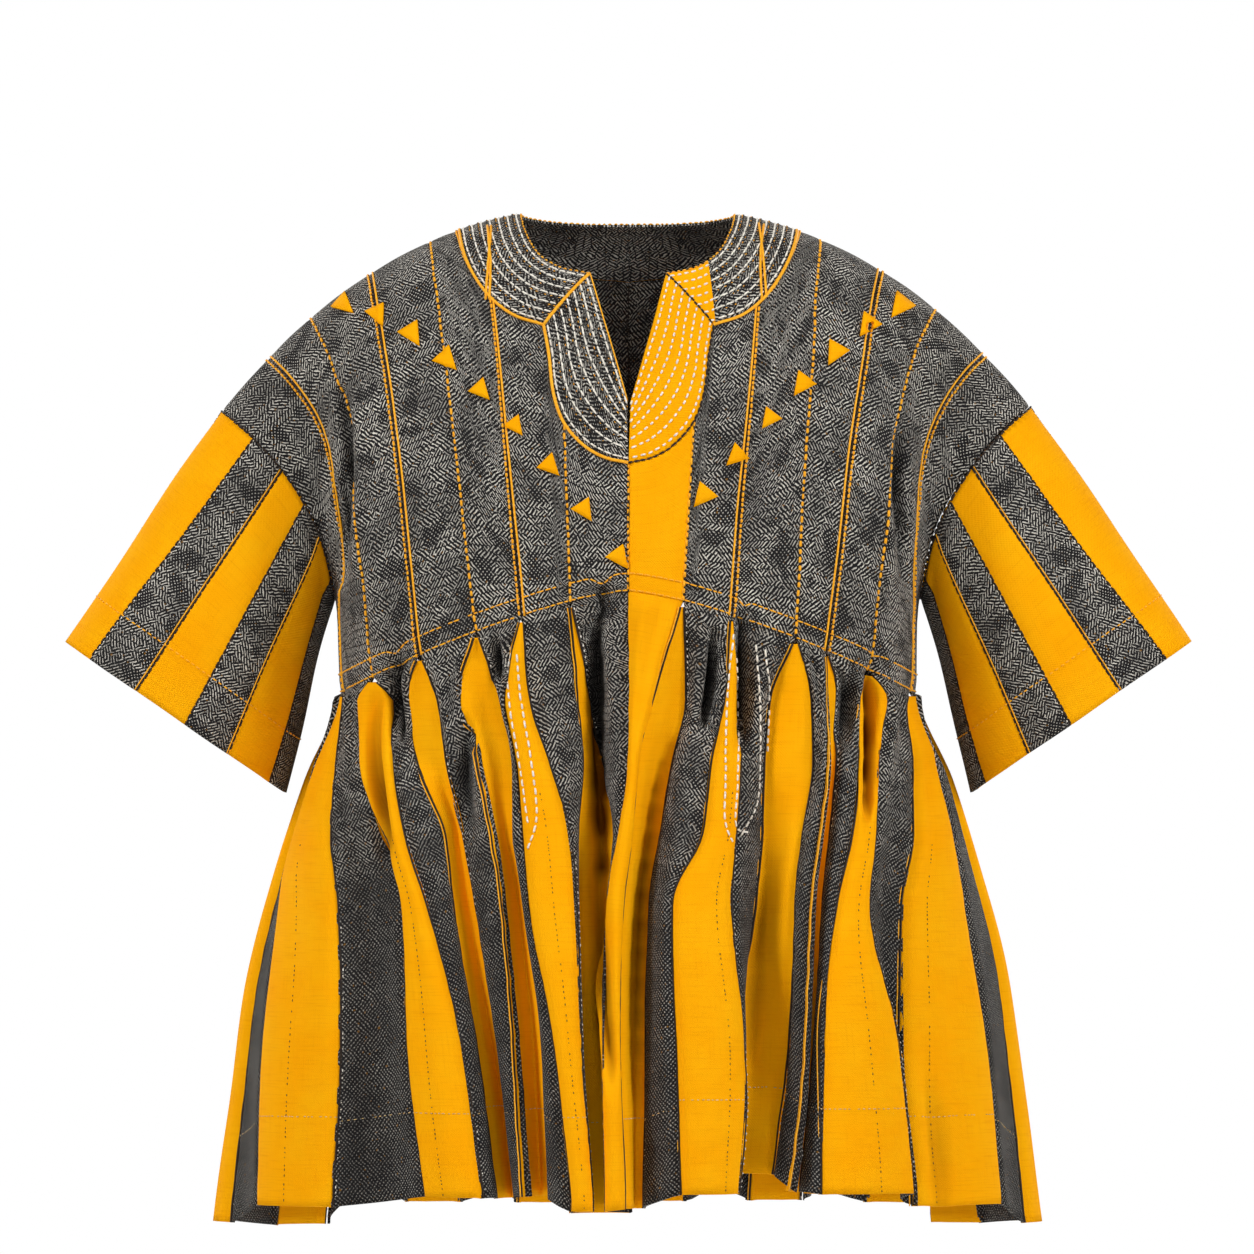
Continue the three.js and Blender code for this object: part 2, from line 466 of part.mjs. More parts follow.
// ---------------------------------------------------------------- closed cloth solids
// rows of {p, n} (outer face and outward normal) -> a closed sheet of cloth
function cloth(name, rows, colour, { inset = [GAP / 2, GAP / 2], tube = false, thick = WALL } = {}) {
  const R = rows.length, C = rows[0].length;
  const outer = rows.map(row => row.map(v => v.p.clone()));
  if (!tube) for (const row of outer) {
    const a = row[1].clone().sub(row[0]), b = row[C - 2].clone().sub(row[C - 1]);
    row[0].addScaledVector(a.normalize(), inset[0]);
    row[C - 1].addScaledVector(b.normalize(), inset[1]);
  }
  const pos = [];
  for (let r = 0; r < R; r++) for (let c = 0; c < C; c++) pos.push(...outer[r][c].toArray());
  for (let r = 0; r < R; r++) for (let c = 0; c < C; c++) {
    pos.push(...outer[r][c].clone().addScaledVector(rows[r][c].n, -thick).toArray());
  }
  const o = (r, c) => r * C + (c % C), i = (r, c) => R * C + o(r, c);
  const cols = tube ? C : C - 1, idx = [];
  const quad = (a, b, c, d) => {
    const A = new THREE.Vector3().fromArray(pos, a * 3), B = new THREE.Vector3().fromArray(pos, b * 3);
    const Cc = new THREE.Vector3().fromArray(pos, c * 3), D = new THREE.Vector3().fromArray(pos, d * 3);
    if (A.distanceTo(Cc) <= B.distanceTo(D)) idx.push(a, b, c, a, c, d); else idx.push(a, b, d, b, c, d);
  };
  // which way round is out?
  const r0 = R >> 1, c0 = Math.min(C >> 1, C - 2);
  const e1 = outer[r0][c0 + 1].clone().sub(outer[r0][c0]);
  const e2 = outer[r0 - 1][c0].clone().sub(outer[r0][c0]);
  const flip = e1.cross(e2).dot(rows[r0][c0].n) < 0;
  const face = (a, b, c, d) => (flip ? quad(d, c, b, a) : quad(a, b, c, d));
  for (let r = 0; r < R - 1; r++) for (let c = 0; c < cols; c++) {
    face(o(r, c), o(r + 1, c), o(r + 1, c + 1), o(r, c + 1));
    face(i(r, c), i(r, c + 1), i(r + 1, c + 1), i(r + 1, c));
  }
  for (let c = 0; c < cols; c++) {
    face(o(0, c), o(0, c + 1), i(0, c + 1), i(0, c));
    face(o(R - 1, c + 1), o(R - 1, c), i(R - 1, c), i(R - 1, c + 1));
  }
  if (!tube) for (let r = 0; r < R - 1; r++) {
    face(o(r + 1, 0), o(r, 0), i(r, 0), i(r + 1, 0));
    face(o(r, C - 1), o(r + 1, C - 1), i(r + 1, C - 1), i(r, C - 1));
  }
  const g = new THREE.BufferGeometry();
  g.setAttribute('position', new THREE.Float32BufferAttribute(pos, 3));
  g.setIndex(idx);
  g.computeVertexNormals();
  const m = new THREE.Mesh(g, new THREE.MeshStandardMaterial({ color: colour, roughness: 0.92, metalness: 0, flatShading: true }));
  m.name = name;
  return m;
}

const smock = new THREE.Group();
const pieceOf = (kind, side, back, k) => order.find(o => o.kind === kind && o.side === side && o.back === back && o.k === k);

// bodice rows and skirt rows of one half strip, sharing the yoke row
function halfStrip(side, back, k) {
  const top = bodiceRows(side, k, back), low = skirtRows(pieceOf('strip', side, back, k));
  const seam = top[top.length - 1];
  seam.forEach((v, i) => v.n.add(low[0][i].n).normalize());
  return [...top, ...low.slice(1)];
}

// strips 0 and 1 stop at the neck band, so they are cut front and back
for (const side of ['left', 'right']) {
  for (const back of [false, true]) for (const k of [0, 1]) {
    const centre = side === 'right' && !back && k === 0;
    const name = centre ? 'centre_strip_front' : `strip_${back ? 'back' : 'front'}_${side}_${k + 1}`;
    smock.add(cloth(name, halfStrip(side, back, k), centre ? ORANGE : GREY));
  }
  // the others run from the front hem over the shoulder to the back hem
  for (let k = 2; k < 7; k++) {
    const front = halfStrip(side, false, k).reverse(), behind = halfStrip(side, true, k);
    const ridge = front[front.length - 1];
    ridge.forEach((v, i) => { v.n.add(behind[0][i].n).normalize(); });
    smock.add(cloth(`strip_${side}_${k + 1}`, [...front, ...behind.slice(1)], GREY));
  }
  for (const back of [false, true]) for (let k = 1; k < 7; k++) {
    const rows = skirtRows(pieceOf('gore', side, back, k)).slice(1);
    smock.add(cloth(`gore_${back ? 'back' : 'front'}_${side}_${k}`, rows, ORANGE));
  }
  smock.add(cloth(`gore_side_${side}`, skirtRows(pieceOf('side', side, false, 7)).slice(1), ORANGE));
}

// ---------------------------------------------------------------- sleeves
const CUFF = { x: 386, y: 8, z: -433, half: 114, deep: 62, dirX: 0.825, dirZ: 0.566 };
const SLEEVE_ROWS = [0, 0.14, 0.32, 0.52, 0.76, 1];
function sleeve(side) {
  const sgn = sides[side].sign, loop = [];
  const pit = ROWS.indexOf(PIT_Q);
  for (let j = 0; j <= pit; j++) loop.push(body(side, 7, -ROWS[j]));
  for (let j = pit - 1; j > 0; j--) loop.push(body(side, 7, ROWS[j]));
  const root = [];
  loop.forEach((p, i) => { const nx = loop[(i + 1) % loop.length]; root.push(p, p.clone().lerp(nx, 0.5)); });
  const half = root.length / 2;
  const len = [0];
  for (let i = 0; i < root.length; i++) len.push(len[i] + root[i].distanceTo(root[(i + 1) % root.length]));
  const angle = i => (i <= half ? Math.PI * len[i] / len[half] : Math.PI + Math.PI * (len[i] - len[half]) / (len[root.length] - len[half]));
  const cuff = root.map((_, i) => {
    const t = angle(i);
    return new THREE.Vector3(
      sgn * (CUFF.x + CUFF.half * CUFF.dirX * Math.cos(t)),
      CUFF.y - CUFF.deep * Math.sin(t),
      CUFF.z + CUFF.half * CUFF.dirZ * Math.cos(t));
  });
  const grid = SLEEVE_ROWS.map((u, r) => root.map((p, i) => {
    const t = angle(i), q = p.clone().lerp(cuff[i], u);
    q.y += -Math.sin(t) * 10 * Math.sin(Math.PI * u);        // fullness between shoulder and cuff
    if (r === 0) q.addScaledVector(cuff[i].clone().sub(p).normalize(), 0.8);
    return q;
  }));
  const C = root.length;
  const rows = grid.map((row, r) => row.map((p, c) => {
    const across = row[(c + 1) % C].clone().sub(row[(c - 1 + C) % C]);
    const along = grid[Math.min(r + 1, grid.length - 1)][c].clone().sub(grid[Math.max(r - 1, 0)][c]);
    const n = along.cross(across).normalize();
    if (side === 'right') n.negate();
    return { p, n };
  }));
  return cloth(`sleeve_${side}`, rows, GREY, { tube: true });
}
smock.add(sleeve('left'), sleeve('right'));

// ---------------------------------------------------------------- neck band
function bandPiece(name, side, inner, outer, colour) {
  const rows = inner.map((a, j) => {
    const b = outer[j], row = [];
    for (let i = 0; i <= 3; i++) {
      const f = i / 3, x = lerp(a[0], b[0], f), q = lerp(a[1], b[1], f);
      const k = columnAt(side, x, q);
      row.push({ p: body(side, k, q), n: bodyNormal(side, k, Math.abs(q) < 1e-5 ? 1e-5 : q) });
    }
    return row;
  });
  // ends stand off their neighbours
  for (const [end, next] of [[0, 1], [rows.length - 1, rows.length - 2]]) {
    rows[end].forEach((v, i) => v.p.addScaledVector(rows[next][i].p.clone().sub(v.p).normalize(), GAP / 2));
  }
  return cloth(name, rows, colour, { inset: [0, 0.4] });
}
for (const side of ['left', 'right']) {
  const b = bands[side];
  smock.add(bandPiece(`collar_${side}`, side, b.collarIn, b.collarOut, GREY));
  smock.add(bandPiece(`placket_${side}`, side, b.slit, b.placketOut, side === 'right' ? ORANGE : GREY));
}

export default smock;
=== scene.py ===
"""Strip smock: cloth, stitching, trim and studio stage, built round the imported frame."""
import math
import random

import bpy
import numpy as np
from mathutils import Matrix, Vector, noise
from mathutils.bvhtree import BVHTree


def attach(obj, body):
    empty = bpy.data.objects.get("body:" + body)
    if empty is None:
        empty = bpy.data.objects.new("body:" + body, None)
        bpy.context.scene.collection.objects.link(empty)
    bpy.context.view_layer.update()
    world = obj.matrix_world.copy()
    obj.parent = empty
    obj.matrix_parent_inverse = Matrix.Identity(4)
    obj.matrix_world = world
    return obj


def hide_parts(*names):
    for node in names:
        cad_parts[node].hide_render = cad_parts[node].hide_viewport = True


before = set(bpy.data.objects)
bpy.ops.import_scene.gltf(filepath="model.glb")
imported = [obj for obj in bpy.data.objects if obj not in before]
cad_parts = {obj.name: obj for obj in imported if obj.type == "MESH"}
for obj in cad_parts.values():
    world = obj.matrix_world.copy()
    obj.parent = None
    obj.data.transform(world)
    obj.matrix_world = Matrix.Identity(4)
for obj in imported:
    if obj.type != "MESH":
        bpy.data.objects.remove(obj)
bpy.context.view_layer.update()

bl_info = {
    "name": "Strip smock",
    "version": (1, 0, 0),
    "blender": (4, 5, 0),
    "location": "3D View > Sidebar > Smock",
    "description": "Builds a hand-woven strip smock piece by piece",
    "category": "Add Mesh",
}

MM = 0.001
SIDES = {"left": -1, "right": 1}
LOOSE = random.Random(11)          # every uneven choice below draws from here, in order
noise.seed_set(7)                  # noise_vector starts at a random place without this
TINY = 1e-9


def unit(v):
    """Vectors of length one; a zero vector stays zero."""
    return v / np.maximum(np.linalg.norm(v, axis=-1, keepdims=True), TINY)


def way_along(line):
    """Length gone at each point of a line."""
    return np.concatenate([[0], np.cumsum(np.linalg.norm(np.diff(line, axis=0), axis=1))])


def sampled(want, length, pts):
    """Points of a line at the wanted lengths."""
    return np.stack([np.interp(want, length, pts[:, c]) for c in range(pts.shape[1])], -1)


# ------------------------------------------------------------------ shapes, in mm
def curve(xs, ys):
    """Shape-keeping cubic through (xs, ys), for arrays."""
    xs, ys = np.array(xs, float), np.array(ys, float)
    h, n = np.diff(xs), len(xs)
    d = np.diff(ys) / h
    m = np.zeros(n)
    m[0], m[-1] = d[0], d[-1]
    for i in range(1, n - 1):
        if d[i - 1] * d[i] > 0:
            w1, w2 = 2 * h[i] + h[i - 1], h[i] + 2 * h[i - 1]
            m[i] = (w1 + w2) / (w1 / d[i - 1] + w2 / d[i])

    def at(x):
        x = np.clip(np.asarray(x, float), xs[0], xs[-1])
        i = np.clip(np.searchsorted(xs, x, side="right") - 1, 0, n - 2)
        t = (x - xs[i]) / h[i]
        return (ys[i] * (2 * t**3 - 3 * t**2 + 1) + h[i] * m[i] * (t**3 - 2 * t**2 + t)
                + ys[i + 1] * (3 * t**2 - 2 * t**3) + h[i] * m[i + 1] * (t**3 - t**2))
    return at


# body rings: drop, half width, half depth in front and behind, squareness
RINGS = np.array([
    (300, 243, 152, 146, 2.7), (410, 244, 160, 158, 2.7), (487, 272, 180, 182, 2.5),
    (562, 294, 200, 204, 2.35), (661, 318, 224, 228, 2.25), (761, 330, 240, 244, 2.15),
    (862, 342, 252, 257, 2.1)])
ring_wide, ring_front, ring_back, ring_square = (curve(RINGS[:, 0], RINGS[:, c]) for c in (1, 2, 3, 4))
DROP_0, DROP_STEP, SHARES = 290.0, 4.0, np.linspace(0, 1, 201)


def ring_table(back):
    """Points of a quarter of the body's rings, evenly by girth."""
    rows = []
    for drop in np.arange(DROP_0, 900, DROP_STEP):
        a, b, n = ring_wide(drop), (ring_back if back else ring_front)(drop), ring_square(drop)
        t = np.linspace(0, math.pi / 2, 161)
        x = a * np.sin(t) ** (2 / n)
        y = (b if back else -b) * np.maximum(np.cos(t), 0) ** (2 / n)
        y[-1] = 0
        length = np.concatenate([[0], np.cumsum(np.hypot(np.diff(x), np.diff(y)))])
        share = length / length[-1]
        rows.append(np.stack([np.interp(SHARES, share, x), np.interp(SHARES, share, y)], -1))
    return np.array(rows)


RING = {False: ring_table(False), True: ring_table(True)}


def ring_xy(drop, back, share):
    """Point of the ring at a drop and a share of a quarter's girth."""
    table = RING[back]
    r = np.clip((np.asarray(drop, float) - DROP_0) / DROP_STEP, 0, len(table) - 1.001)
    s = np.clip(np.asarray(share, float), 0, 1) * 200
    i, j = r.astype(int), np.minimum(s.astype(int), 199)
    fr, fs = (r - i)[..., None], (s - j)[..., None]
    return ((table[i, j] * (1 - fs) + table[i, j + 1] * fs) * (1 - fr)
            + (table[i + 1, j] * (1 - fs) + table[i + 1, j + 1] * fs) * fr)


def ring_share(drop, back, x):
    """Share of a quarter's girth at a distance x from the centre plane."""
    table = RING[back]
    r = min(max((drop - DROP_0) / DROP_STEP, 0), len(table) - 1.001)
    i = int(r)
    xs = table[i, :, 0] * (1 - r + i) + table[i + 1, :, 0] * (r - i)
    return float(np.interp(abs(x), xs, SHARES))


def on_ring(drop, side, back, share, out):
    """Points on a half ring, moved out; a share past 1 runs on round the side."""
    share = np.asarray(share, float)
    over = share > 1
    sign = np.where(share < 0, -1, 1) * SIDES[side]
    s = np.where(over, 2 - share, np.abs(share))
    here, there = ring_xy(drop, back, s), ring_xy(drop, not back, s)
    ahead, behind = np.clip(s + 0.012, 0, 1), np.clip(s - 0.012, 0, 1)
    dh = ring_xy(drop, back, ahead) - ring_xy(drop, back, behind)
    dt = ring_xy(drop, not back, ahead) - ring_xy(drop, not back, behind)
    p, d = np.where(over[..., None], there, here), np.where(over[..., None], dt, dh)
    length = np.maximum(np.hypot(d[..., 0], d[..., 1]), 1e-9)
    out_y = np.where(over, not back, back) * 2 - 1
    x = p[..., 0] + np.abs(d[..., 1]) / length * out
    y = p[..., 1] + out_y * np.abs(d[..., 0]) / length * out
    return np.stack([sign * x, y, -np.broadcast_to(np.asarray(drop, float), x.shape)], -1)


# seam columns: half-distance on the shoulder ridge, girth at the yoke in front and behind
KS = range(8)
SEAMS = {
    "left": ([0, 60, 121, 168, 219, 270, 306, 345], [0, 49, 90, 128, 179, 229, 292, 333],
             [0, 48, 94, 140, 186, 232, 290, 333]),
    "right": ([0, 66, 116, 163, 214, 261, 303, 342], [0, 46, 88, 142, 170, 214, 287, 333],
              [0, 48, 93, 139, 187, 231, 288, 333])}
ridge_x = {s: curve(KS, SEAMS[s][0]) for s in SIDES}
YOKE_GIRTH = 333                   # a quarter of the way round at the yoke
yoke_share = {(s, b): curve(KS, np.array(SEAMS[s][1 + b]) / YOKE_GIRTH) for s in SIDES for b in (False, True)}
run_in = curve(KS, [0, 0, 0, 0, 0.1, 0.5, 0.88, 0.95])
run_power = curve(KS, [5, 5, 5, 5, 5, 5, 6, 3.2])
arm_bulge = curve(KS, [0, 0, 0, 0, 8, 26, 46, 58])
bulge_round = curve(KS, [1, 1, 1, 1, 1, 0.9, 0.68, 0.5])
PROFILE = 2.2                      # roundness from the ridge down to the yoke
PIT_Q = 0.808                      # where the sleeve ends under the arm, as q
GIRTH_DROP = 360                   # level at which the yoke's girths are taken
YOKE_TOP, YOKE_DIP, YOKE_POWER = -327, 86, 1.4
RIDGE_DIP, RIDGE_END, RIDGE_POWER = 173, 345, 2.44


def yoke(side, k, back):
    """x, y and z where seam column k meets the yoke line."""
    share = yoke_share[side, back](k)
    out = ring_xy(np.full(np.shape(share), GIRTH_DROP), back, share)[..., 0] / RINGS[0, 1]
    z = YOKE_TOP - YOKE_DIP * out**YOKE_POWER
    xy = ring_xy(-z, back, share)
    return xy[..., 0], xy[..., 1], z


def fall_of(q):
    """Share of the fall from the ridge to the yoke at q."""
    return 1 - np.maximum(0, np.cos(np.abs(q) * math.pi / 2)) ** (2 / PROFILE)


def column_x(side, k, q, back):
    """Distance of seam column k from the centre plane at q."""
    yx, s, w = yoke(side, k, back)[0], fall_of(q), run_in(k)
    return yx + (ridge_x[side](k) - yx) * ((1 - w) * (1 - s) + w * (1 - s) ** run_power(k))


def body(side, k, q, back):
    """Bodice cloth: k counts seam columns from the centre, q runs from the ridge to the yoke."""
    k, q = np.broadcast_arrays(np.asarray(k, float), np.abs(np.asarray(q, float)))
    _, yy, yz = yoke(side, k, back)
    s = fall_of(q)
    zr = -RIDGE_DIP * (ridge_x[side](k) / RIDGE_END) ** RIDGE_POWER
    end = 1 - 0.332 * np.clip((k - 4) / 3, 0, 1)
    swell = np.maximum(np.sin(math.pi * np.clip(s / end, 0, 1)), 0) ** bulge_round(k)
    bulge = arm_bulge(k) * swell * (1 if back else -1)
    return np.stack([SIDES[side] * column_x(side, k, q, back),
                     yy * np.sin(q * math.pi / 2) ** (2 / PROFILE) + bulge, zr - (zr - yz) * s], -1)


def column_at(side, x, q, back):
    """Seam column that lies x from the centre plane at q."""
    lo, hi = np.zeros(np.shape(x)), np.full(np.shape(x), 6.5)
    for _ in range(36):
        mid = (lo + hi) / 2
        near = column_x(side, mid, q, back) < x
        lo, hi = np.where(near, mid, lo), np.where(near, hi, mid)
    return (lo + hi) / 2


def front_q(side, x, z):
    """q of a point (x, z) of the bodice as seen from in front."""
    x, z = np.asarray(x, float), np.asarray(z, float)
    lo, hi = np.zeros(x.shape), np.ones(x.shape)
    for _ in range(32):
        mid = (lo + hi) / 2
        above = body(side, column_at(side, x, mid, False), mid, False)[..., 2] > z
        lo, hi = np.where(above, mid, lo), np.where(above, hi, mid)
    return (lo + hi) / 2


def flowing(points, per=40):
    """Centripetal Catmull-Rom through 2-D points, with its length."""
    p = np.array(points, float)
    p = np.vstack([2 * p[0] - p[1], p, 2 * p[-1] - p[-2]])
    out = []
    for a, b, c, d in zip(p, p[1:], p[2:], p[3:]):
        t0, t1, t2 = (max(np.linalg.norm(v) ** 0.5, 1e-6) for v in (b - a, c - b, d - c))
        m1 = ((b - a) / t0 - (c - a) / (t0 + t1) + (c - b) / t1) * t1
        m2 = ((c - b) / t1 - (d - b) / (t1 + t2) + (d - c) / t2) * t1
        t = np.linspace(0, 1, per, endpoint=False)[:, None]
        out.append(b * (2 * t**3 - 3 * t**2 + 1) + m1 * (t**3 - 2 * t**2 + t)
                   + c * (3 * t**2 - 2 * t**3) + m2 * (t**3 - t**2))
    line = np.vstack([*out, p[-2][None]])
    return line, way_along(line)


def spaced(line, count):
    """Evenly spaced points on the smooth curve through a line."""
    pts, length = flowing(line)
    return sampled(np.linspace(0, length[-1], count), length, pts)


def spaced_line(line, shares):
    """Points at shares of the length of a line of straight pieces."""
    length = way_along(line)
    return sampled(length[-1] * np.asarray(shares), length, line)


# neck band outline: (x, z) in front, (x, q) behind
NECK_IN_FRONT = [(32, -58), (58, -52), (75, -41), (86, -23)]
NECK_OUT_FRONT = [(72, -102), (98, -93), (120, -74), (137, -45)]
NECK_IN_BACK = [(91, 0), (88, 0.08), (70, 0.148), (38, 0.19), (0, 0.2)]
NECK_OUT_BACK = [(143, 0), (137, 0.14), (110, 0.28), (60, 0.385), (0, 0.42)]
SLIT = [(32, -58), (22, -94), (11.5, -130), (1.6, -166)]
PLACKET_OUT = [(72, -102), (67.5, -128), (63.5, -160), (55, -184), (38, -204), (19, -215), (0, -219)]
Q_MM = 300           # how far a whole q counts when an outline is spaced out


def front_line(side, pts):
    """Outline points in front as (x, signed q in mm)."""
    p = np.array(pts, float)
    return np.stack([p[:, 0], -front_q(side, p[:, 0], p[:, 1]) * Q_MM], -1)


def back_line(pts):
    """Outline points behind as (x, q in mm)."""
    p = np.array(pts, float)
    return np.stack([p[:, 0], p[:, 1] * Q_MM], -1)


BAND = {}
for _side in SIDES:
    _out = spaced(np.vstack([front_line(_side, NECK_OUT_FRONT), back_line(NECK_OUT_BACK)]), 241)
    _inn = spaced(np.vstack([front_line(_side, NECK_IN_FRONT), back_line(NECK_IN_BACK)]), 241)
    _pout = spaced(front_line(_side, PLACKET_OUT), 121)
    _slit = spaced(front_line(_side, SLIT), 121)
    _f = np.vstack([_out[_out[:, 1] < 0][::-1], _pout[1:]])
    _b = _out[_out[:, 1] > 0]
    BAND[_side] = {
        "collar": (_inn, _out), "placket": (_slit, _pout),
        False: (np.r_[0, -_f[:, 1] / Q_MM], np.r_[143, _f[:, 0]]),
        True: (np.r_[0, _b[:, 1] / Q_MM], np.r_[143, _b[:, 0]])}


def band_half(side, q, back):
    """How far the neck band reaches from the centre plane at q."""
    return np.interp(np.abs(q), *BAND[side][back])


def band_edge(side, k, back):
    """q where seam column k leaves the neck band."""
    k = np.asarray(k, float)
    lo, hi = np.zeros(k.shape), np.full(k.shape, BAND[side][back][0][-1])
    meets = column_x(side, k, 1e-6, back) < band_half(side, 1e-6, back)
    for _ in range(40):
        mid = (lo + hi) / 2
        inside = column_x(side, k, mid, back) < band_half(side, mid, back)
        lo, hi = np.where(inside, mid, lo), np.where(inside, hi, mid)
    return np.where(meets, (lo + hi) / 2, 0)


# ------------------------------------------------------------------ skirt tables, in mm
LEVELS = [419, 470, 530, 589, 708, 836]
# (side, seam): left and right edge at the levels, how far the edges stand in, bow, hem drop
FRONT_GORES = {
    ("left", 6): ([-246, -264, -285, -297, -310, -316], [-243, -252, -255, -248, -245, -252], 0, 2, 7, 846),
    ("left", 5): ([-232, -233, -217, -198, -193, -178], [-203, -201, -190, -171, -140, -122], 12, 5, 13, 837),
    ("left", 4): ([-193, -182, -156, -150, -130, -113], [-167, -162, -150, -141, -123, -107], 34, 44, -20, 838),
    ("left", 3): ([-143, -126, -113, -104, -94, -86], [-112, -101, -103, -93, -79, -75], 9, 26, -24, 836),
    ("left", 2): ([-106, -97, -91, -86, -65, -51], [-82, -66, -48, -41, -37, -27], 0, 2, 12, 848),
    ("left", 1): ([-40, -36, -40, -43, -46, -48], [-33, -28, -16, -10, -6, -2], 40, 46, -8, 850),
    ("right", 1): ([25, 12, 8, 1, -3, 2], [48, 35, 24, 15, 11, 8], 3, 34, -16, 846),
    ("right", 2): ([80, 70, 62, 36, 39, 43], [97, 98, 94, 89, 103, 97], 2, 2, 11, 834),
    ("right", 3): ([124, 121, 121, 119, 101, 84], [157, 159, 150, 143, 141, 124], 46, 28, -8, 817),
    ("right", 4): ([171, 173, 168, 161, 156, 143], [181, 178, 173, 167, 162, 150], 6, 30, -20, 832),
    ("right", 5): ([200, 197, 190, 177, 163, 164], [221, 213, 212, 207, 232, 245], 2, 1, 9, 834),
    ("right", 6): ([240, 250, 250, 239, 238, 251], [248, 262, 277, 287, 306, 319], 16, 0, 5, 845)}
# (side, seam): middle and width at the hem, how far the edges stand in, bow, hem drop
BACK_GORES = {
    ("left", 6): (284, 40, 3, 0, 8, 868), ("left", 5): (224, 34, 24, 14, -16, 843),
    ("left", 4): (168, 52, 3, 2, 11, 850), ("left", 3): (116, 22, 26, 30, -20, 842),
    ("left", 2): (76, 44, 2, 4, 12, 851), ("left", 1): (30, 20, 26, 22, -22, 843),
    ("right", 1): (34, 38, 4, 2, 12, 850), ("right", 2): (82, 22, 30, 24, -20, 842),
    ("right", 3): (128, 48, 2, 3, 11, 849), ("right", 4): (178, 24, 24, 28, -18, 843),
    ("right", 5): (232, 54, 2, 1, 10, 850), ("right", 6): (290, 34, 12, 4, -8, 866)}
STRIP_BOWS = {("left", False): [-6, -4, 3, 4, 3, -20, -6], ("right", False): [11, 3, -6, 3, 5, -20, -6],
              ("left", True): [5, -4, 5, -4, -5, 4, -5], ("right", True): [-5, -4, 5, 5, -4, 4, -5]}
SIDE_HEM, SIDE_BOW, SIDE_OPEN = 862, 10, {False: 0.062, True: 0.075}
CENTRE_HEM = {False: 848, True: 847}
centre_swing = curve([327, 470, 530, 589, 708, 836], [0, -3, -12, -21, -26, -24])


def gore_edges(side, k, back):
    """Both edges as x over drop, how far they stand in, bow and hem of a gore."""
    yx, _, yz = (float(v) for v in yoke(side, k, back))
    if not back:
        left, right, in_left, in_right, bow, hem = FRONT_GORES[side, k]
        near, far = (right, left) if side == "left" else (left, right)
        into = (in_right, in_left) if side == "left" else (in_left, in_right)
        levels = [lv for lv in LEVELS if lv > -yz + 4]
        drops = [-yz, *levels]
        edges = [curve(drops, [yx, *(v * SIDES[side] for v in line[-len(levels):])]) for line in (near, far)]
        return edges, into, bow, hem
    mid, width, in_near, in_far, bow, hem = BACK_GORES[side, k]

    def edge(sign):
        def at(drop):
            t = min(max((drop + yz) / (hem + yz), 0), 1)
            return yx + (mid - yx) * t**0.95 + sign * width / 2 * t**0.55
        return at
    return (edge(-1), edge(1)), (in_near, in_far), bow, hem


GORES = {(s, k, b): gore_edges(s, k, b) for s in SIDES for b in (False, True) for k in range(1, 7)}
TIP = 0.7                          # half width of a gore's upper end


def skirt_edge(side, back, k, part, t):
    """Share of the ring, drop and inset of one edge; part 0 is near the centre, 1 is far."""
    yz = float(yoke(side, k, back)[2])
    tip = min(max(t / 0.007, 0), 1)
    if k == 0:
        drop = -yz + (CENTRE_HEM[back] + yz) * t
        x = 0 if back else float(centre_swing(drop)) * SIDES[side]
        return math.copysign(ring_share(drop, back, x), x), drop, 0 if back else 3 * t**0.6
    if k == 7:
        return 1 - SIDE_OPEN[back] * t**0.5 - TIP / YOKE_GIRTH * tip, -yz + (SIDE_HEM + yz) * t, 0
    edges, into, _, hem = GORES[side, k, back]
    drop = -yz + (hem + yz) * t
    x = float(edges[part](drop)) + TIP * tip * (1 if part else -1)
    share = min(ring_share(drop, back, x), (0.905, 0.93)[part] if k == 6 else 1)
    return (-share if x < 0 else share), drop, into[part] * t**0.6


def skirt_row(side, back, a, b, bow, t, f):
    """Points across a skirt piece between its two edges."""
    share, drop, into = (lo + (hi - lo) * f for lo, hi in zip(a, b))
    return on_ring(drop, side, back, share, -into + bow * t**0.6 * 4 * f * (1 - f))


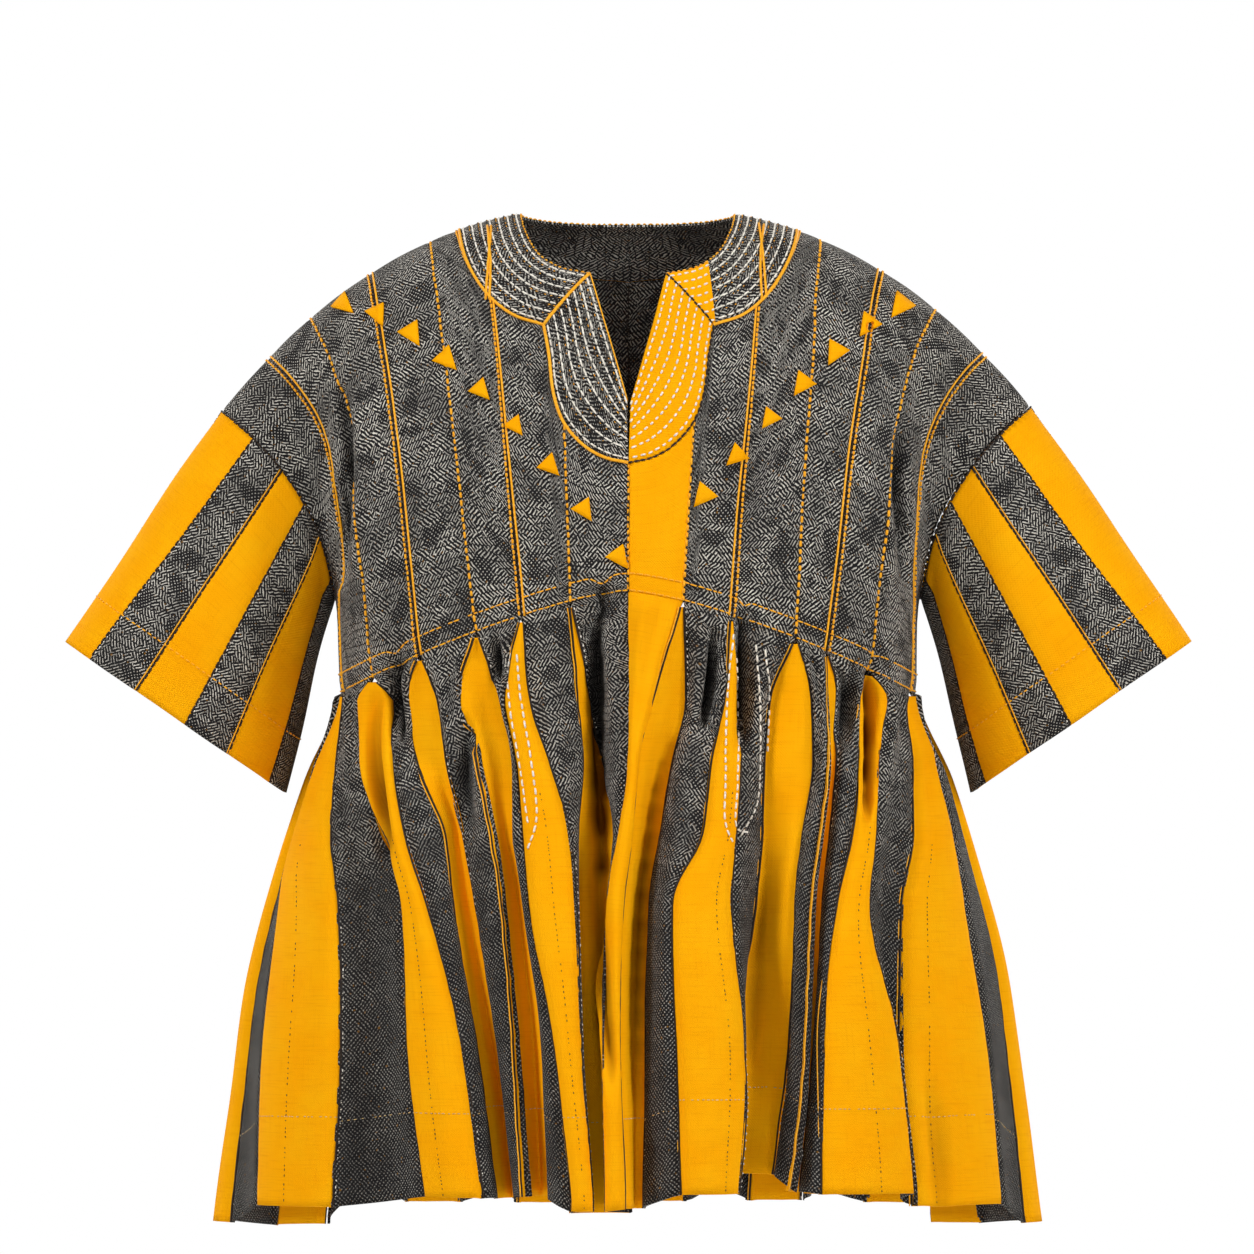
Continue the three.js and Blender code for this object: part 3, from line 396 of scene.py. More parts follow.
# ------------------------------------------------------------------ uneven hang of the whole cloth
# soft folds in front and behind: a line of (x, z), depth (in is negative) and half width in mm
FOLDS = {False: [
    ([(-262, -118), (-256, -180), (-244, -236)], -7, 14),
    ([(-244, -158), (-240, -200), (-240, -260), (-244, -318)], -26, 6),
    ([(-228, -160), (-227, -230), (-230, -310)], 9, 8),
    ([(-296, -186), (-272, -232), (-252, -286)], -7, 9),
    ([(-190, -130), (-196, -220), (-205, -330)], -2.6, 20),
    ([(-226, -250), (-214, -330), (-212, -395)], 3.2, 16),
    ([(-118, -190), (-126, -270), (-132, -360)], 2.2, 20),
    ([(-68, -236), (-84, -300), (-92, -345)], -2.0, 14),
    ([(250, -126), (247, -200), (243, -246)], -7, 14),
    ([(232, -190), (231, -250), (236, -320)], -24, 6),
    ([(219, -185), (218, -240), (222, -310)], 8, 8),
    ([(288, -190), (268, -240), (250, -296)], -7, 9),
    ([(196, -140), (203, -230), (208, -345)], -2.8, 19),
    ([(222, -270), (216, -340), (222, -400)], 3.0, 15),
    ([(122, -180), (130, -260), (136, -350)], 2.4, 20),
    ([(96, -230), (102, -290), (98, -338)], -1.8, 13),
    ([(-150, -70), (-178, -92), (-210, -104)], -2.2, 12),
    ([(152, -74), (182, -98), (214, -112)], -2.0, 12),
    ([(-212, -420), (-217, -455), (-214, -500), (-206, -560)], -24, 6),
    ([(-193, -388), (-197, -415), (-194, -450)], -30, 6),
    ([(-109, -372), (-110, -400)], -26, 5),
    ([(-138, -440), (-140, -480), (-133, -530)], -22, 7),
    ([(-22, -330), (-27, -400), (-27, -480), (-22, -560)], -40, 8),
    ([(-26, -560), (-20, -660), (-14, -740)], -24, 7),
    ([(-58, -350), (-62, -420), (-56, -500)], 4, 12),
    ([(-160, -400), (-164, -450), (-158, -520)], 5, 11),
    ([(70, -362), (71, -400), (66, -440)], -34, 6),
    ([(97, -352), (99, -400), (98, -450)], -32, 5),
    ([(185, -398), (186, -425), (182, -455)], -26, 6),
    ([(205, -398), (207, -450), (204, -515)], -30, 5),
    ([(140, -372), (143, -420), (138, -480)], 6, 13),
    ([(222, -420), (226, -470), (228, -540)], 4, 10),
    ([(32, -461), (18, -529), (11, -620), (8, -742)], -23, 11),
    ([(114, -560), (109, -640), (106, -742)], -15, 11),
    ([(-234, -452), (-238, -520), (-243, -620)], 4, 14),
    ([(-100, -560), (-92, -660), (-86, -780)], -7, 12),
    ([(40, -470), (38, -560), (30, -700)], 5, 13),
    ([(124, -640), (132, -740), (134, -840)], -8, 12),
    ([(252, -720), (262, -790), (266, -850)], -5, 9),
    ([(-300, -640), (-296, -740), (-300, -850)], 3.0, 24),
    ([(-150, -700), (-140, -780), (-146, -850)], -3.0, 16),
    ([(284, -600), (278, -700), (270, -850)], -4.5, 14),
    ([(196, -640), (204, -740), (206, -850)], 2.4, 22),
    ([(66, -560), (72, -680), (70, -830)], 2.6, 18),
], True: [
    ([(-150, -400), (-156, -450), (-152, -540)], -22, 7),
    ([(-58, -370), (-62, -430), (-58, -520)], -20, 7),
    ([(44, -360), (46, -420), (40, -520)], -24, 7),
    ([(138, -392), (142, -450), (138, -540)], -22, 7),
    ([(212, -420), (216, -480), (222, -560)], -18, 7),
    ([(-255, -130), (-250, -210), (-238, -310)], -6, 16),
    ([(258, -124), (249, -205), (240, -320)], -7, 15),
    ([(-170, -90), (-182, -210), (-190, -360)], 3, 24),
    ([(-88, -120), (-96, -230), (-104, -350)], -2.6, 22),
    ([(14, -110), (6, -220), (10, -340)], 2.8, 26),
    ([(104, -120), (112, -240), (108, -350)], -2.8, 22),
    ([(184, -100), (192, -230), (196, -370)], 2.8, 24),
    ([(-250, -560), (-262, -700), (-268, -860)], -3.6, 18),
    ([(-120, -520), (-132, -680), (-140, -850)], 3.4, 20),
    ([(60, -540), (56, -700), (62, -850)], -3.0, 18),
    ([(200, -540), (214, -700), (222, -850)], 3.6, 20),
]}
FOLD_POINTS = 24
SLOW_WAVE, SWAY = 0.011, (1.6, 2.2, 0.6)   # unevenness: waves per mm, and how far it goes


def hang(p):
    """Moves points by the folds and by a slow unevenness; the same place always moves the same way."""
    p = p.copy()
    flat = p.reshape(-1, 3)
    side = np.clip(flat[:, 1] / 60, -1, 1)          # 1 behind, -1 in front
    radial = flat[:, :2] / np.maximum(np.linalg.norm(flat[:, :2], axis=1), 60)[:, None]
    push = np.zeros(len(flat))
    for back, folds in FOLDS.items():
        weight = np.clip(side if back else -side, 0, 1)
        for line, depth, half in folds:
            pts = spaced(line, FOLD_POINTS)
            away = np.sqrt(((flat[:, None, [0, 2]] - pts[None]) ** 2).sum(-1))
            d, nearest = away.min(1), away.argmin(1)
            fade = 0.3 + 0.7 * np.sin(math.pi * (nearest + 0.5) / len(pts)) ** 0.7
            push += SETS.fold * depth * fade * np.exp(-(d / half) ** 2) * weight
    flat[:, 0] += radial[:, 0] * push * 0.4
    flat[:, 1] += np.where(side > 0, 1, -1) * np.abs(side) * push * 0.9
    for i, (x, y, z) in enumerate(flat * SLOW_WAVE):
        way = noise.noise_vector(Vector((x, y, z * 0.8)))
        flat[i] += [d * reach for d, reach in zip(way, SWAY)]
    return flat.reshape(p.shape)


# ------------------------------------------------------------------ meshes
def normals_of(p, centre, ring=False):
    """Outward normals of a grid of points."""
    if ring:
        across = np.roll(p, -1, 1) - np.roll(p, 1, 1)
    else:
        across = np.gradient(p, axis=1)
    n = unit(np.cross(np.gradient(p, axis=0), across))
    r, c = p.shape[0] // 2, p.shape[1] // 2
    if np.dot(n[r, c], p[r, c] - np.asarray(centre)) < 0:
        n = -n
    return n


def lengths(p, axis):
    """Length gone along each row or column of a grid of points."""
    d = np.linalg.norm(np.diff(p, axis=axis), axis=-1)
    zero = np.zeros_like(np.take(d, [0], axis))
    return np.concatenate([zero, np.cumsum(d, axis=axis)], axis)


def mesh_object(name, verts, faces, uv=None, smooth=None, slots=None):
    """A mesh from points in mm, on the root body."""
    me = bpy.data.meshes.new(name)
    me.from_pydata((np.asarray(verts) * MM).tolist(), [], faces)
    if uv is not None:
        layer = me.uv_layers.new(name="cloth")
        index = np.zeros(len(me.loops), int)
        me.loops.foreach_get("vertex_index", index)
        layer.data.foreach_set("uv", (np.asarray(uv)[index] * MM).ravel())
    me.polygons.foreach_set("use_smooth", smooth if smooth is not None else [True] * len(faces))
    if slots is not None:
        me.polygons.foreach_set("material_index", slots)
    me.update()
    obj = bpy.data.objects.new(name, me)
    bpy.context.collection.objects.link(obj)
    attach(obj, "root")
    return obj


CLOTH = {}           # finished outer faces, for what is sewn on them


def shell(name, p, n, uv, thick, ring=False, slots=None):
    """A closed thin cloth from its outer face, with turned edges; slots go by column of a ring."""
    rows, cols = p.shape[:2]
    thick = np.broadcast_to(np.asarray(thick, float), (rows, cols))[..., None]
    verts = np.vstack([p.reshape(-1, 3), (p - n * thick).reshape(-1, 3)])
    span = cols if ring else cols - 1
    r, c = np.meshgrid(np.arange(rows - 1), np.arange(span), indexing="ij")
    a, b = r * cols + c, r * cols + (c + 1) % cols
    outer = np.stack([a, a + cols, b + cols, b], -1).reshape(-1, 4)
    flip = np.dot(np.cross(p[1, 0] - p[0, 0], p[0, 1] - p[0, 0]), n[0, 0]) < 0
    if flip:
        outer = outer[:, ::-1]
    under, last = rows * cols, (rows - 1) * cols
    edges = []
    for i in range(span):
        j = (i + 1) % cols
        edges += [(i, j), (last + j, last + i)]
    if not ring:
        for x in range(0, last, cols):
            y = x + cols
            edges += [(y, x), (y - 1, y + cols - 1)]
    rim = [(j, i, i + under, j + under) if flip else (i, j, j + under, i + under) for i, j in edges]
    faces = [*outer.tolist(), *(outer[:, ::-1] + under).tolist(), *rim]
    smooth = [True] * (2 * len(outer)) + [False] * len(rim)
    index = None
    if slots is not None:
        per = np.asarray(slots)[c.ravel()].tolist()
        index = [*per, *per, *(slot for slot in slots for _ in range(2))]
    obj = mesh_object(name, verts, faces, np.vstack([uv.reshape(-1, 2)] * 2), smooth, index)
    CLOTH[name] = {"p": p, "n": n, "faces": outer}
    return obj


def sunk(p, hung):
    """How far the folds take each point inwards, as a share of a deep fold; it sets the painted shade in the folds.
    """
    return np.clip(((p - hung) * normals_of(p, AXIS)).sum(-1) / DEEP_FOLD, 0, 1)


def mark_painted_fold_shade(obj, deep):
    """Keeps that share with the mesh, for the painted shade in the folds of the cloth's colour."""
    mark = obj.data.attributes.new("fold", "FLOAT", "POINT")
    mark.data.foreach_set("value", np.tile(deep.ravel(), 2).astype(np.float32))


def row_areas(p):
    """Area of the cloth between each two rows."""
    a = np.linalg.norm(np.cross(p[1:, :-1] - p[:-1, :-1], p[:-1, 1:] - p[:-1, :-1]), axis=-1)
    b = np.linalg.norm(np.cross(p[:-1, 1:] - p[1:, 1:], p[1:, :-1] - p[1:, 1:]), axis=-1)
    return (a + b).sum(1) / 2


def declare(node, p, ring=False):
    """Hides the frame's part for a cloth piece; it measures the piece along its own faces, but nothing uses the
    result.
    """
    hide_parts(node)
    if ring:
        p = np.concatenate([p, p[:, :1]], 1)
    areas, down = row_areas(p), np.diff(lengths(p, 0).mean(1))


DEEP_FOLD = 26.0                   # mm in, at which the painted shade in the folds is darkest
# columns across a strip or gore, and rows down the bodice and the skirt, as shares
EDGE_STEPS = np.array([0, 0.03, 0.07, *np.linspace(0.125, 0.875, 13), 0.93, 0.97, 1])
BODICE_W = np.linspace(0, 1, 54)
SKIRT_T = np.linspace(0, 1, 66) ** 1.12
BAND_W = np.linspace(0.15, 1, 50)  # rows of a strip that starts at the neck band
TOP_W = BAND_W[0]
AXIS = (0, 0, -420)                # a point inside the smock, for outward normals


def bodice(side, k, back):
    """Rows of the bodice part of the strip between seams k and k + 1, ridge or band first."""
    f = EDGE_STEPS
    rows = []
    start = float(band_edge(side, 2, back))
    tops = band_edge(side, k + f, back) if k < 2 else 0
    for w in (BODICE_W if k >= 2 else BAND_W):
        kk = k + f
        if k < 2:
            q = tops + (1 - tops) * (w - TOP_W) / (1 - TOP_W)
        elif k == 2:
            if w < TOP_W:
                q0 = start * w / TOP_W
                x = float(band_half(side, q0, back))
                k0 = float(column_at(side, np.array(x), q0, back))
            else:
                q0, k0 = start + (1 - start) * (w - TOP_W) / (1 - TOP_W), 2.0
            kk = k0 + (3 - k0) * f
            q = q0 + (w - q0) * f
        else:
            q = np.full(f.shape, w)
        rows.append(body(side, kk, q, back))
    return np.array(rows)


def skirt(side, back, kind, k):
    """Rows of the skirt part of a strip, of a gore or of a side gore, yoke line first."""
    rows = []
    for t in SKIRT_T:
        if kind == "strip":
            a, b = skirt_edge(side, back, k, 1, t), skirt_edge(side, back, k + 1, 0, t)
            bow = STRIP_BOWS[side, back][k]
        elif kind == "gore":
            a, b, bow = skirt_edge(side, back, k, 0, t), skirt_edge(side, back, k, 1, t), GORES[side, k, back][2]
        else:
            a = skirt_edge(side, False, 7, 0, t)
            far = skirt_edge(side, True, 7, 0, t)
            b, bow = (2 - far[0], far[1], far[2]), SIDE_BOW
        rows.append(skirt_row(side, back, a, b, bow, t, EDGE_STEPS))
    return np.array(rows)


def trimmed(p, gap, most=0.3):
    """Stands the long edges off the seams, by a share of the first column at most."""
    p = p.copy()
    for edge, inner in ((0, 1), (-1, -2)):
        v = p[:, inner] - p[:, edge]
        size = np.maximum(np.linalg.norm(v, axis=-1, keepdims=True), TINY)
        p[:, edge] += v / size * np.minimum(gap, size * most)
    return p


def sewn_relief(p, n, uv, seed, free, pucker=0.35):
    """Rolled-in seam edges with small puckers along them; free is 0 where the cloth is sewn
    flat on the bodice and 1 where it hangs free in the skirt, with deeper, softer edges."""
    free = np.asarray(free, float)[:, None]
    groove, reach = 1.1 + 3.0 * free, 1.6 + 3.6 * free
    across = lengths(p, 1)
    wide = across[:, -1:]
    edge = np.minimum(across, wide - across)
    roll = -groove * np.exp(-(edge / reach) ** 2) * np.clip(wide / 30, 0.3, 1)
    v = uv[..., 1]
    wave = np.sin(v * 2 * math.pi / 9.5 + seed) + 0.6 * np.sin(v * 2 * math.pi / 5.9 + 2.1 * seed)
    left = pucker * wave * np.exp(-edge / 5.5) * np.clip(wide / 14, 0, 1)
    swell = 0.5 * np.sin(math.pi * np.clip(across / np.maximum(wide, 1e-6), 0, 1))
    return p + n * (roll + left + swell)[..., None]


def strip_uv(p):
    """Cloth coordinates in mm: across from the middle column, and down it."""
    u = lengths(p, 1)
    mid = p.shape[1] // 2
    v = lengths(p, 0)[:, mid:mid + 1]
    return np.stack([u - u[:, mid:mid + 1], np.broadcast_to(v, u.shape)], -1)


def gathers(p, n, first, seed, yoke_row, step):
    """Small pleats that fan out below the yoke stitches and die away down the skirt."""
    down = lengths(p, 0)
    down = np.abs(down - down[yoke_row:yoke_row + 1])
    below = np.zeros(p.shape[0], bool)
    if step > 0:
        below[yoke_row:] = True
    else:
        below[:yoke_row + 1] = True
    f = EDGE_STEPS[None, :]
    rise = np.clip(down / 9, 0, 1) * np.exp(-(down / 85) ** 1.5)
    fan = np.sin(2 * math.pi * (1.5 * f + first) + down / 60 + seed)
    puff = 2.6 * np.sin(math.pi * f) * np.clip(down / 12, 0, 1) * np.exp(-(down / 60))
    return p + n * ((3.8 * rise * fan * np.sin(math.pi * f) + puff) * below[:, None])[..., None]


# where the pressed crease down a gore lies at its top and hem, as shares, and its depth
PRESSED = {("left", 6, False): (0.5, 0.5, 3.2), ("left", 5, False): (0.46, 0.6, 4.0),
           ("right", 2, False): (0.72, 0.71, 2.4), ("right", 5, False): (0.53, 0.545, 2.0),
           ("right", 6, False): (0.4, 0.235, 5.0), ("left", 2, False): (0.5, 0.4, 1.2),
           ("left", 6, True): (0.5, 0.46, 2.6), ("left", 4, True): (0.5, 0.56, 2.8),
           ("left", 2, True): (0.5, 0.42, 2.2), ("right", 1, True): (0.5, 0.55, 2.4),
           ("right", 3, True): (0.48, 0.56, 2.6), ("right", 5, True): (0.5, 0.45, 2.8)}


# ------------------------------------------------------------------ materials
def linear(hex_colour):
    """sRGB hex to linear RGBA."""
    parts = [int(hex_colour[i:i + 2], 16) / 255 for i in (1, 3, 5)]
    return (*(c / 12.92 if c <= 0.04045 else ((c + 0.055) / 1.055) ** 2.4 for c in parts), 1)


def add(tree, kind, inputs=None, **settings):
    """Adds one node with its settings, and its inputs as values or links."""
    node = tree.nodes.new(kind)
    for key, value in settings.items():
        setattr(node, key, value)
    for key, value in (inputs or {}).items():
        if isinstance(value, bpy.types.NodeSocket):
            tree.links.new(value, node.inputs[key])
        else:
            node.inputs[key].default_value = value
    return node


def calc(tree, operation, *values):
    return add(tree, "ShaderNodeMath", dict(enumerate(values)), operation=operation).outputs[0]


def ramp(tree, value, start, end, low=0.0, high=1.0):
    """Maps start to end onto low to high, held at both ends."""
    return add(tree, "ShaderNodeMapRange", {0: value, 1: start, 2: end, 3: low, 4: high}).outputs[0]


def either(tree, share, first, second):
    return add(tree, "ShaderNodeMix", {0: share, 2: first, 3: second}, data_type="FLOAT").outputs[0]


def blend(tree, share, first, second):
    """Colour between two, each a link or an sRGB hex."""
    first, second = (linear(c) if isinstance(c, str) else c for c in (first, second))
    return add(tree, "ShaderNodeMix", {0: share, 6: first, 7: second}, data_type="RGBA").outputs[2]


def grain(tree, where, scale, detail, roughness=0.5, place=None):
    """Soft noise; a place in the fourth dimension gives another one."""
    inputs = {"Vector": where, "Scale": scale, "Detail": detail, "Roughness": roughness}
    if place is None:
        return add(tree, "ShaderNodeTexNoise", inputs).outputs["Fac"]
    return add(tree, "ShaderNodeTexNoise", {**inputs, "W": place}, noise_dimensions="4D").outputs["Fac"]


def new_material(name, hexes):
    """The material and its empty tree, or the finished one and no tree."""
    mat = bpy.data.materials.get(name)
    if mat:
        return mat, None
    mat = bpy.data.materials.new(name)
    mat.use_nodes = True
    mat.diffuse_color = linear(hexes)
    tree = mat.node_tree
    tree.nodes.clear()
    return mat, tree


def finish_material(tree, colour, height, roughness, relief, sheen=0.0, shine=0.12):
    """Bump, shader and output shared by every cloth and thread here."""
    bump = add(tree, "ShaderNodeBump", {"Strength": 1.0, "Distance": relief, "Height": height})
    shader = add(tree, "ShaderNodeBsdfPrincipled",
                 {"Base Color": colour, "Roughness": roughness, "Normal": bump.outputs[0],
                  "Specular IOR Level": shine, "Sheen Weight": sheen, "Sheen Roughness": 0.6})
    add(tree, "ShaderNodeOutputMaterial", {"Surface": shader.outputs[0]})


def cloth_mm(tree):
    """Cloth coordinates in mm: x across the strip, y along the warp."""
    uv = add(tree, "ShaderNodeUVMap", uv_map="cloth")
    return add(tree, "ShaderNodeVectorMath", {0: uv.outputs[0], "Scale": 1000.0}, operation="SCALE").outputs[0]


def painted_fold_shade(tree, colour, deep):
    """Painted shade: the colour turns to a deep tone down in the folds, standing in for the shade there."""
    fold = add(tree, "ShaderNodeAttribute", attribute_name="fold").outputs["Fac"]
    return blend(tree, ramp(tree, fold, 0.25, 0.8, 0.0, 0.9), colour, deep)


FLOAT_APART, FLOAT_REACH, FLOAT_STEP, FLOAT_STEEP = 3.5, 10.0, 2.9, 0.86     # white floats, in mm
THREAD_GRID = 2.2                                                             # orange weave, in mm


def grey_cotton():
    """Hand-woven cotton, near-black warp with white weft floats in broken twill: short
    slanting white dashes whose slant turns from patch to patch, and dots towards the hems.
    The floats are 3.5 mm apart, coarser than real, so that they show at this size."""
    mat, tree = new_material("handwoven_grey_cotton", SETS.grey_hex)
    if tree is None:
        return mat
    mm, V = cloth_mm(tree), "ShaderNodeVectorMath"
    wander = add(tree, "ShaderNodeTexNoise", {"Vector": mm, "Scale": 0.1, "Detail": 3.0, "Roughness": 0.6})
    drift = add(tree, V, {0: wander.outputs["Color"], 1: (0.5, 0.5, 0.5)}, operation="SUBTRACT")
    drift = add(tree, V, {0: drift.outputs[0], "Scale": 4.5}, operation="SCALE")
    warped = add(tree, V, {0: mm, 1: drift.outputs[0]}, operation="ADD")
    x, y, _ = add(tree, "ShaderNodeSeparateXYZ", {0: warped.outputs[0]}).outputs
    steep = calc(tree, "MULTIPLY", y, FLOAT_STEEP)
    slants = [calc(tree, way, steep, x) for way in ("ADD", "SUBTRACT")]
    threads, masks = [], []
    for line, along in (slants, slants[::-1]):
        line = calc(tree, "DIVIDE", line, FLOAT_APART)
        off = calc(tree, "ABSOLUTE", calc(tree, "SUBTRACT", calc(tree, "FRACT", line), 0.5))
        threads.append(ramp(tree, off, 0.14, 0.22, 1.0, 0.0))
        dash = calc(tree, "MULTIPLY_ADD", calc(tree, "FLOOR", line), FLOAT_STEP, along)
        dash = calc(tree, "FRACT", calc(tree, "DIVIDE", dash, FLOAT_REACH))
        dash = calc(tree, "ABSOLUTE", calc(tree, "SUBTRACT", dash, 0.5))
        masks.append(calc(tree, "MULTIPLY", threads[-1], ramp(tree, dash, 0.4, 0.44, 1.0, 0.0)))
    slant = either(tree, ramp(tree, grain(tree, mm, 0.07, 2.0, 0.6), 0.485, 0.515), *masks)
    where = grain(tree, mm, 0.045, 1.0, place=3.0)
    # towards the hems the floats were beaten up shorter, read as dots and are fewer
    level = add(tree, "ShaderNodeSeparateXYZ", {0: add(tree, "ShaderNodeTexCoord").outputs["Object"]}).outputs[2]
    level = calc(tree, "MULTIPLY_ADD", where, 0.5, level)
    dotted = calc(tree, "MAXIMUM", ramp(tree, where, 0.56, 0.6), ramp(tree, level, -0.2, -0.36, 0.0, 0.85))
    floats = either(tree, dotted, slant, calc(tree, "MULTIPLY", *threads))
    fibre = grain(tree, mm, 0.24, 3.0, 0.75)
    amount = floats
    for share in (ramp(tree, fibre, 0.34, 0.54, 0.45, 1.0),
                  ramp(tree, grain(tree, mm, 0.022, 2.0, 0.6), 0.36, 0.6, 0.5, 1.0),
                  ramp(tree, level, -0.1, -0.4, 1.0, 0.66)):
        amount = calc(tree, "MULTIPLY", amount, share)
    colour = blend(tree, amount, blend(tree, fibre, SETS.grey_hex, "#262628"), SETS.fleck_hex)
    gold = ramp(tree, grain(tree, mm, 0.33, 0.0, place=9.0), 0.73, 0.76, 0.0, 0.5)
    colour = blend(tree, gold, colour, "#9a6a12")
    # near-black painted shade down in the folds
    finish_material(tree, painted_fold_shade(tree, colour, "#050506"), floats, 0.92, 0.0006, 0.05)
    return mat


def orange_cotton():
    """Hand-woven plain cotton, piece-dyed orange-yellow: matt, with faint slubs where a
    thicker weft was thrown. Threads are 1.1 mm apart; the grid is drawn at 2.2 mm, so it shows."""
    mat, tree = new_material("handwoven_orange_cotton", SETS.orange_hex)
    if tree is None:
        return mat
    mm = cloth_mm(tree)
    xy = add(tree, "ShaderNodeSeparateXYZ", {0: mm}).outputs
    weave = calc(tree, "MULTIPLY", *(calc(tree, "SINE", calc(tree, "MULTIPLY", v, 2 * math.pi / THREAD_GRID))
                                     for v in (xy[0], xy[1])))
    slubs = []
    for scale in ((0.03, 0.75, 1.0), (0.6, 0.025, 1.0)):
        lay = add(tree, "ShaderNodeVectorMath", {0: mm, 1: scale}, operation="MULTIPLY").outputs[0]
        slubs.append(grain(tree, lay, 1.0, 2.0, 0.55))
    lines = calc(tree, "MULTIPLY", ramp(tree, slubs[0], 0.3, 0.5, 0.9), ramp(tree, slubs[1], 0.3, 0.45, 0.94))
    tone = ramp(tree, grain(tree, mm, 0.02, 2.0), 0.3, 0.7)
    base = blend(tree, tone, SETS.orange_hex, "#ffb606")
    deep = ramp(tree, calc(tree, "MULTIPLY_ADD", weave, 0.035, lines), 0.7, 1.0, 1.0, 0.0)
    # brown painted shade down in the folds
    colour = painted_fold_shade(tree, blend(tree, deep, base, "#ea9200"), "#5e2a00")
    finish_material(tree, colour, calc(tree, "MULTIPLY_ADD", weave, 0.25, lines), 0.88, 0.0006, 0.0, 0.06)
    return mat


def cotton_thread(name, hexes, deep):
    """Mercerised sewing thread, two-ply: a soft lustre and a slight colour change along the ply."""
    mat, tree = new_material(name, hexes)
    if tree is None:
        return mat
    ply = grain(tree, add(tree, "ShaderNodeTexCoord").outputs["Object"], 700.0, 1.0)
    finish_material(tree, blend(tree, ramp(tree, ply, 0.35, 0.65), deep, hexes), ply, 0.6, 0.0002, 0.05, 0.3)
    return mat


def orange_thread():
    return cotton_thread("orange_sewing_thread", SETS.thread_hex, "#f2a000")


def white_thread():
    return cotton_thread("white_sewing_thread", SETS.white_hex, "#dcd8cc")


def dark_thread():
    return cotton_thread("dark_sewing_thread", "#15110d", "#2c1a06")


# ------------------------------------------------------------------ threads and cords
class Sewing:
    """Gathers many small tubes into one mesh."""

    def __init__(self):
        self.verts, self.faces, self.count = [], [], 0

    def tubes(self, centre, normal, radii, sides=5, wide=1.0):
        """centre (D, M, 3) and normal (D, M, 3) in mm; radii (M,) or (D, M)."""
        d, m = centre.shape[:2]
        along = unit(np.gradient(centre, axis=1))
        beside = unit(np.cross(along, normal))
        up = np.cross(beside, along)
        radii = np.broadcast_to(np.asarray(radii, float), (d, m))[..., None, None]
        turn = np.arange(sides) * 2 * math.pi / sides + math.pi / sides
        ring = (beside[:, :, None] * np.cos(turn)[:, None] * wide + up[:, :, None] * np.sin(turn)[:, None])
        pts = centre[:, :, None] + ring * radii
        base = self.count + np.arange(d)[:, None, None] * m * sides
        i, j = np.meshgrid(np.arange(m - 1), np.arange(sides), indexing="ij")
        a, b = i * sides + j, i * sides + (j + 1) % sides
        quads = np.stack([a, b, b + sides, a + sides], -1).reshape(1, -1, 4) + base
        self.verts.append(pts.reshape(-1, 3))
        self.faces += quads.reshape(-1, 4).tolist()
        ends = self.count + np.arange(d)[:, None] * m * sides
        cap = np.arange(sides)
        self.faces += (ends + cap[::-1]).tolist() + (ends + (m - 1) * sides + cap).tolist()
        self.count += d * m * sides

    def obj(self, name, material):
        obj = mesh_object(name, np.vstack(self.verts), self.faces)
        obj.data.materials.append(material)
        return obj


def drawn(path, normal):
    """Points and normals of a path by the length gone along it, and its whole length."""
    path, normal = np.asarray(path, float), np.asarray(normal, float)
    length = way_along(path)

    def at(s):
        s = np.clip(s, 0, length[-1])
        return sampled(s, length, path), unit(sampled(s, length, normal))
    return at, length[-1]


def running(sewing, path, normal, dash, gap, radius, wander=0.25, start=0.0, lift=0.35, miss=0.0):
    """A hand-sewn running stitch along a path on the cloth."""
    at, total = drawn(path, normal)
    starts, s = [], start
    while s + dash * 0.6 < total:
        long = dash * (1 + LOOSE.uniform(-wander, wander))
        if LOOSE.random() >= miss:
            starts.append((s, min(s + long, total), LOOSE.uniform(-0.25, 0.25) * radius))
        s += long + gap * (1 + LOOSE.uniform(-wander, wander))
    if not starts:
        return
    a, b, off = (np.array(v)[:, None] for v in zip(*starts))
    small = dash < 3.2
    steps, swell = ([0, 0.5, 1], [0.7, 1, 0.7]) if small else ([0, 0.16, 0.84, 1], [0.5, 1, 1, 0.5])
    p, n = at(a + (b - a) * np.array(steps))
    side = unit(np.cross(n, np.gradient(p, axis=1)))
    rise = (np.array(swell) * 1.6 - 1.2) * radius + lift * radius
    p = p + n * rise[:, None] + side * off[..., None]
    sewing.tubes(p, n, radius * np.array(swell), 4 if small else 5, 1.15)


def cord(sewing, path, normal, radius, lift=0.4, step=4.5, sides=5):
    """One unbroken cord laid on the cloth."""
    at, total = drawn(path, normal)
    count = max(int(total / step), 3)
    p, n = at(np.linspace(0, total, count))
    sewing.tubes((p + n * radius * lift)[None], n[None], radius, sides)


def column(name, f):
    """Path down a piece of cloth at a share f of its width."""
    c = CLOTH[name]
    x = f * (c["p"].shape[1] - 1)
    i = min(int(x), c["p"].shape[1] - 2)
    return tuple(c[key][:, i] * (1 - x + i) + c[key][:, i + 1] * (x - i) for key in "pn")


def beside_edge(name, far, inset):
    """Path along a long edge of a piece of cloth, a set distance in from it."""
    c = CLOTH[name]
    p, n = (c["p"][:, ::-1], c["n"][:, ::-1]) if far else (c["p"], c["n"])
    across = lengths(p, 1)
    rows = np.arange(len(p))
    inset = np.minimum(inset, across[:, -1] * 0.45)
    i = np.clip((across < inset[:, None]).sum(1), 1, p.shape[1] - 1)
    lo = across[rows, i - 1]
    f = ((inset - lo) / np.maximum(across[rows, i] - lo, 1e-6))[:, None]
    return p[rows, i - 1] * (1 - f) + p[rows, i] * f, n[rows, i - 1] * (1 - f) + n[rows, i] * f


